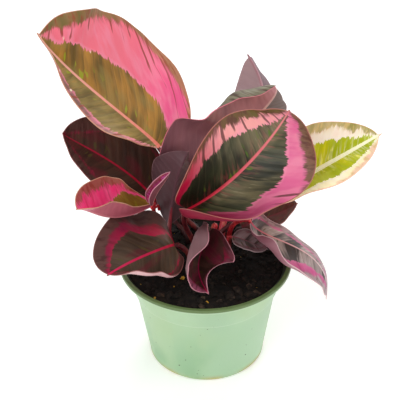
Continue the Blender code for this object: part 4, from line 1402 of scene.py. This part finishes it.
def band_colour(finish, look, grain, place, middle, border, hair):
    """The painted band: clouds of a lighter tone, a few long streaks and a frayed edge."""
    share, _, side = place
    cloud = finish.noise(grain, (0.09, 0.07, 1.0), 2)
    fine = finish.noise(grain, (0.7, 0.12, 2.0), 3, 0.6)
    spot = finish.noise(grain, (0.2, 0.1, 1.7), 1)
    strength = finish.ramp(share, look["light"])
    tone = two_sided(finish, look, "band", finish.step(share, 0.12, 0.56), side)
    light = finish.step(finish.blend((cloud, 0.85), (fine, 0.15)), 0.42, 0.62)
    tone = finish.lay(tone, look["band_light"], light, strength)
    tone = finish.lay(tone, look["band_light"], finish.step(middle, *RIM_FADE), strength)
    tone = finish.lay(tone, look["streak"], streaks(finish, grain, border), look["streaks"])
    frayed = finish.step(finish.blend((hair, 0.3), (fine, 0.3), (cloud, 0.4)), 0.47, 0.57)
    frayed = finish.times(frayed, finish.step(border, *FRINGE_FADE))
    tone = finish.lay(tone, look["streak"], frayed, look["fringe"])
    cream = finish.times(finish.step(spot, 0.67, 0.71), finish.step(middle, *CREAM_FADE))
    return finish.lay(tone, CREAM, cream, look["cream"])


print("bands ready")

# %% [markdown]
# Outside the band lies the mottled border. The midrib is a thin bright line, on some leaves
# with side branches, and a pale line closes the margin.

# %% Border, rib and margin
BRANCH_FADE = (12, 1)
MARGIN_FADE = (0.5, 0.15)


def border_colour(finish, look, grain, place, broad):
    """The outer border, mottled between its two tones and its streak colour."""
    share, _, side = place
    shifted = finish.plus(share, finish.wobble(broad, 1.0), clamp=True)
    tone = two_sided(finish, look, "border", shifted, side)
    mottle = finish.noise(grain, (0.22, 0.14, 4.0), 3, 0.6)
    return finish.lay(tone, look["streak"], finish.step(mottle, 0.48, 0.62), 0.7)


def rib_and_margin(finish, look, tone, place, edge, tooth, hair):
    """Lays the midrib, its side branches and the pale margin over the zones."""
    share, away, _ = place
    pale = finish.mix(share, *look["rib"])
    branch = finish.times(finish.step(tooth, 0.5, 0.6), finish.step(away, *BRANCH_FADE))
    tone = finish.lay(tone, pale, branch, look["branch"])
    half_rib = finish.plus(finish.ramp(share, look["rib_width"]),
                           finish.wobble(hair, look["feather"]))
    tone = finish.lay(tone, pale, finish.step(finish.minus(away, half_rib), 0.25, -0.35))
    return finish.lay(tone, look["margin"], finish.step(edge, *MARGIN_FADE))


print("borders ready")

# %% [markdown]
# The upper face puts its zones together. The middle ends in feathery teeth that follow the
# side veins, and the border starts in a ragged line. The underside is plainer, with the
# same veins.

# %% Upper and under face
VEIN_FADE = (0.6, 0.05)
TOOTH_SIZE = 7.0
HAIR_SIZE = 3.0
RAGGED_SIZE = 14.0


def upper_colour(finish, look, grain, zones, place, vein, broad, hair):
    """Colour of the upper face, from its middle, band and border."""
    middle, border, edge = zones
    tooth = finish.noise(grain, (0.6, 0.09, 1.0), 2, 0.6)
    patch = finish.noise(grain, (0.12, 0.1, 8.0), 3, 0.6)
    shifts = ((broad, TOOTH_SIZE), (tooth, TOOTH_SIZE), (hair, HAIR_SIZE))
    jag = finish.blend(*[(finish.wobble(*shift), look["teeth"]) for shift in shifts])
    ragged = finish.blend((jag, 1.0), (finish.wobble(patch, RAGGED_SIZE), look["teeth"]))
    inner = middle_colour(finish, look, grain, place, finish.step(vein, *VEIN_FADE))
    band = band_colour(finish, look, grain, place, middle, border, hair)
    outer = border_colour(finish, look, grain, place, broad)
    inside = finish.step(finish.plus(middle, jag), -0.4, 0.4)
    not_inside = finish.minus(1.0, inside)
    outside = finish.step(finish.plus(border, ragged), -1.8, 1.4)
    tone = finish.lay(inner, band, not_inside, look["band_fade"])
    tone = finish.lay(tone, outer, outside, not_inside)
    return rib_and_margin(finish, look, tone, place, edge, tooth, hair)


def under_colour(finish, look, grain, place, edge, vein):
    """Colour of the underside: two tones in clouds, faint veins, the rib and the margin."""
    share, away, side = place
    cloud = finish.noise(grain, (0.08, 0.05, 1.0), 3)
    shifted = finish.plus(share, finish.wobble(cloud, 0.8), clamp=True)
    tone = two_sided(finish, look, "under", shifted, side)
    tone = finish.lay(tone, look["under_rib"], finish.step(vein, 0.5, 0.0), 0.06)
    tone = finish.lay(tone, look["under_rib"], finish.step(away, 1.1, 0.5))
    return finish.lay(tone, look["margin"], finish.step(edge, 0.5, 0.2))


print("faces ready")

# %% [markdown]
# Both faces belong to one material, which reads from the upper measure which of them it
# paints. Two materials would do as well, but one keeps the veins of both faces in line. A
# calathea's blade is quilted between its side veins, so the relief rises from each
# vein to the middle between two, with fine hairs of texture on top.

# %% Leaf finish
VEIN_SPACING = 5.2
VEIN_BEND = 3.0


def leaf_finish(number, look):
    finish = Finish("leaf_finish_" + number)
    grain = finish.attribute("vein").outputs["Vector"]
    zones = finish.parts(finish.attribute("zones").outputs["Vector"])
    place = finish.parts(finish.attribute("place").outputs["Vector"])
    across, _, _ = finish.parts(grain)
    broad = finish.noise(grain, (0.13, 0.05, 1.0), 2, 0.5)
    hair = finish.noise(grain, (2.2, 0.08, 1.0), 2, 0.5)
    vein = finish.sums("PINGPONG", finish.plus(across, finish.wobble(broad, VEIN_BEND)),
                       VEIN_SPACING / 2)
    colour = finish.mix(finish.attribute("upper").outputs["Fac"],
                        under_colour(finish, look, grain, place, zones[2], vein),
                        upper_colour(finish, look, grain, zones, place, vein, broad, hair))
    # the emission is painted light through the blade, as strong as the palette says
    finish.set(Base_Color=colour, Emission_Color=colour, Emission_Strength=look["glow"],
               Specular_IOR_Level=look["shine"])
    finish.rough(look["gloss"], hair, 0.15)
    quilt = finish.step(vein, 0.0, VEIN_SPACING / 2)
    finish.bump(finish.plus(quilt, finish.times(hair, 0.2)), 0.0004, 0.3)
    return finish.material


for number, blade in blades.items():
    blade.data.materials.append(leaf_finish(number, PALETTES[number]))
print(len(blades), "leaf finishes")

# %% [markdown]
# A stem rises from the soil in a soft curve. Low down it is wrapped in a sheath and a little
# thicker, then it thins, and just under the blade it swells to a joint that turns with the
# light. The joint runs on into the raised midrib. A chain of cylinders would kink where they
# meet, so the stem is drawn as a curve with a radius at each point, and turned into a mesh.

# %% Stem paths
STEM_RISE = 0.38
STEM_ARRIVE = 0.33
STEM_LEAN = 0.6
STEM_LIFT = 0.4
STEM_GAP = 0.4
STEM_STEPS = 22
LENGTH_STEPS = 20
HOLE_DEPTH = 6.0
SHEATH = 1.12
SHEATH_END = 0.4
JOINT_END = 2.4
JOINT_LENGTH = 9.0
JOINT_SWELL = 1.12
JOINT_FADE = 1.5
RUN_ON = (0.02, 0.05, 0.09, 0.14)
RUN_START = 0.85
RUN_THIN = 3.4
RUN_SINK = 0.6


def stem_controls(leaf):
    rib, across, face = row_frame(leaf, 0.0)
    along = face.cross(across)
    foot = rib - face * (rib_depth(leaf, 0.0, 0.0) / 2)
    if "root" in leaf:
        x, y = leaf["root"]
        start = Vector((x, y, soil_height(x, y) + 1))
    else:
        start = Vector(leaf["start"])
    arrive = STEM_LEAN * along + Vector((0, 0, STEM_LIFT))
    if "lead" in leaf:
        arrive = Vector(leaf["lead"])
    end = foot - along * (STEM_GAP + JOINT_END)
    height = (end - start).length
    return (start, start + Vector((0, 0, STEM_RISE * height)),
            end - arrive.normalized() * STEM_ARRIVE * height, end)


def stem_points(leaf):
    """Places and radii along a stem, from its hole in the soil to the blade's rib."""
    controls = stem_controls(leaf)
    low, high = leaf["stem"]
    length = curve_length(controls, LENGTH_STEPS)
    points = []
    if "root" in leaf:
        x, y = leaf["root"]
        points.append((Vector((x, y, soil_height(x, y) - HOLE_DEPTH + GAP)), low))
    for index in range(STEM_STEPS + 1):
        share = index / STEM_STEPS
        left = (1 - share) * length
        joint = max(0.0, min(1.0, 2 - left / JOINT_LENGTH * JOINT_FADE))
        radius = low + (high - low) * share
        radius *= 1 + (SHEATH - 1) * max(0.0, 1 - share / SHEATH_END)
        radius *= 1 + (JOINT_SWELL - 1) * joint
        points.append((curve_point(controls, share), radius))
    for share in RUN_ON:
        rib, _, face = row_frame(leaf, share)
        radius = high * (RUN_START - RUN_THIN * share)
        sink = max(rib_depth(leaf, share, 0.0) * RUN_SINK, radius + 0.1)
        points.append((rib - face * sink, radius))
    return points


print("stem 01 has", len(stem_points(LEAVES["01"])), "points")

# %% Stem builder
def make_stem(number, leaf):
    points = stem_points(leaf)
    bpy.ops.object.select_all(action="DESELECT")
    bpy.ops.curve.primitive_nurbs_path_add()
    stem = bpy.context.object
    stem.name = "stem_fine_" + number
    curve = stem.data
    curve.splines.clear()
    curve.bevel_depth = MM
    curve.bevel_resolution = 4
    curve.resolution_u = 4
    curve.use_fill_caps = True
    line = curve.splines.new("NURBS")
    line.points.add(len(points) - 1)
    line.order_u = 3
    line.use_endpoint_u = True
    for target, (place, radius) in zip(line.points, points):
        target.co = (*(place * MM), 1.0)
        target.radius = radius
    bpy.ops.object.convert(target="MESH")
    bpy.ops.object.shade_smooth_by_angle(angle=math.radians(50))
    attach(stem, "root")
    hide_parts("stem_" + number)
    return stem


stems = {number: make_stem(number, leaf) for number, leaf in LEAVES.items()}
print("stems", sum(len(stem.data.polygons) for stem in stems.values()), "faces")

# %% [markdown]
# Young stems are juicy and half see-through. Most in front are crimson, the thick one is
# salmon where light goes through it, and one is a rod painted dark above as shade and bright
# at its foot. The stems in the shade of the leaves are painted nearly brown as shade. All
# have fine streaks along their length and lighter patches of painted light shining through
# them, and all but the rod are painted darker near the soil as shade.

# %% Stem finish
STEM_TONES = {
    # shaded side, light side, painted light through the stem, and the foot near the soil,
    #     # painted darker as shade on all but the rod
    "stem_crimson": ((164, 16, 40), (222, 58, 60), (246, 150, 118), (96, 26, 24)),
    "stem_salmon": ((206, 24, 66), (246, 110, 96), (255, 200, 160), (190, 20, 56)),
    "stem_rod": ((110, 14, 36), (150, 34, 50), (166, 60, 60), (226, 26, 70)),
    "stem_shaded": ((70, 16, 24), (108, 28, 34), (140, 52, 46), (40, 16, 14)),
}
STEM_KINDS = {
    "stem_salmon": ("07",),
    "stem_crimson": ("03", "10", "11", "13", "14"),
    "stem_rod": ("09",),
    "stem_shaded": ("01", "02", "04", "05", "06", "08", "12", "15"),
}
FOOT_FADE = (86, 68)


def stem_finish(name, tones):
    finish = Finish(name)
    shade, light, glow, foot = [paint(*tone) for tone in tones]
    place = finish.millimetres()
    _, _, height = finish.parts(place)
    streak = finish.noise(place, (0.9, 0.9, 0.06), 3, 0.6)
    patch = finish.noise(place, (0.12, 0.12, 0.05), 2)
    tone = finish.mix(finish.step(streak, 0.35, 0.65), shade, light)
    # patches of painted light where light shines through the stem
    tone = finish.lay(tone, glow, finish.step(patch, 0.5, 0.64), 0.7)
    # the foot near the soil is painted shade, except on the rod, whose dark tones above are
    # the painted shade
    finish.set(Base_Color=finish.lay(tone, foot, finish.step(height, *FOOT_FADE)))
    finish.rough(0.32, streak, 0.2)
    finish.bump(streak, 0.0002, 0.5)
    return finish.material


for name, numbers in STEM_KINDS.items():
    material = stem_finish(name, STEM_TONES[name])
    for number in numbers:
        stems[number].data.materials.append(material)
print("stem finish on", len(stems), "stems")

# %% [markdown]
# The last cell shows the colours plainly, without a film look.

# %% Close
bpy.context.scene.view_settings.view_transform = "Standard"
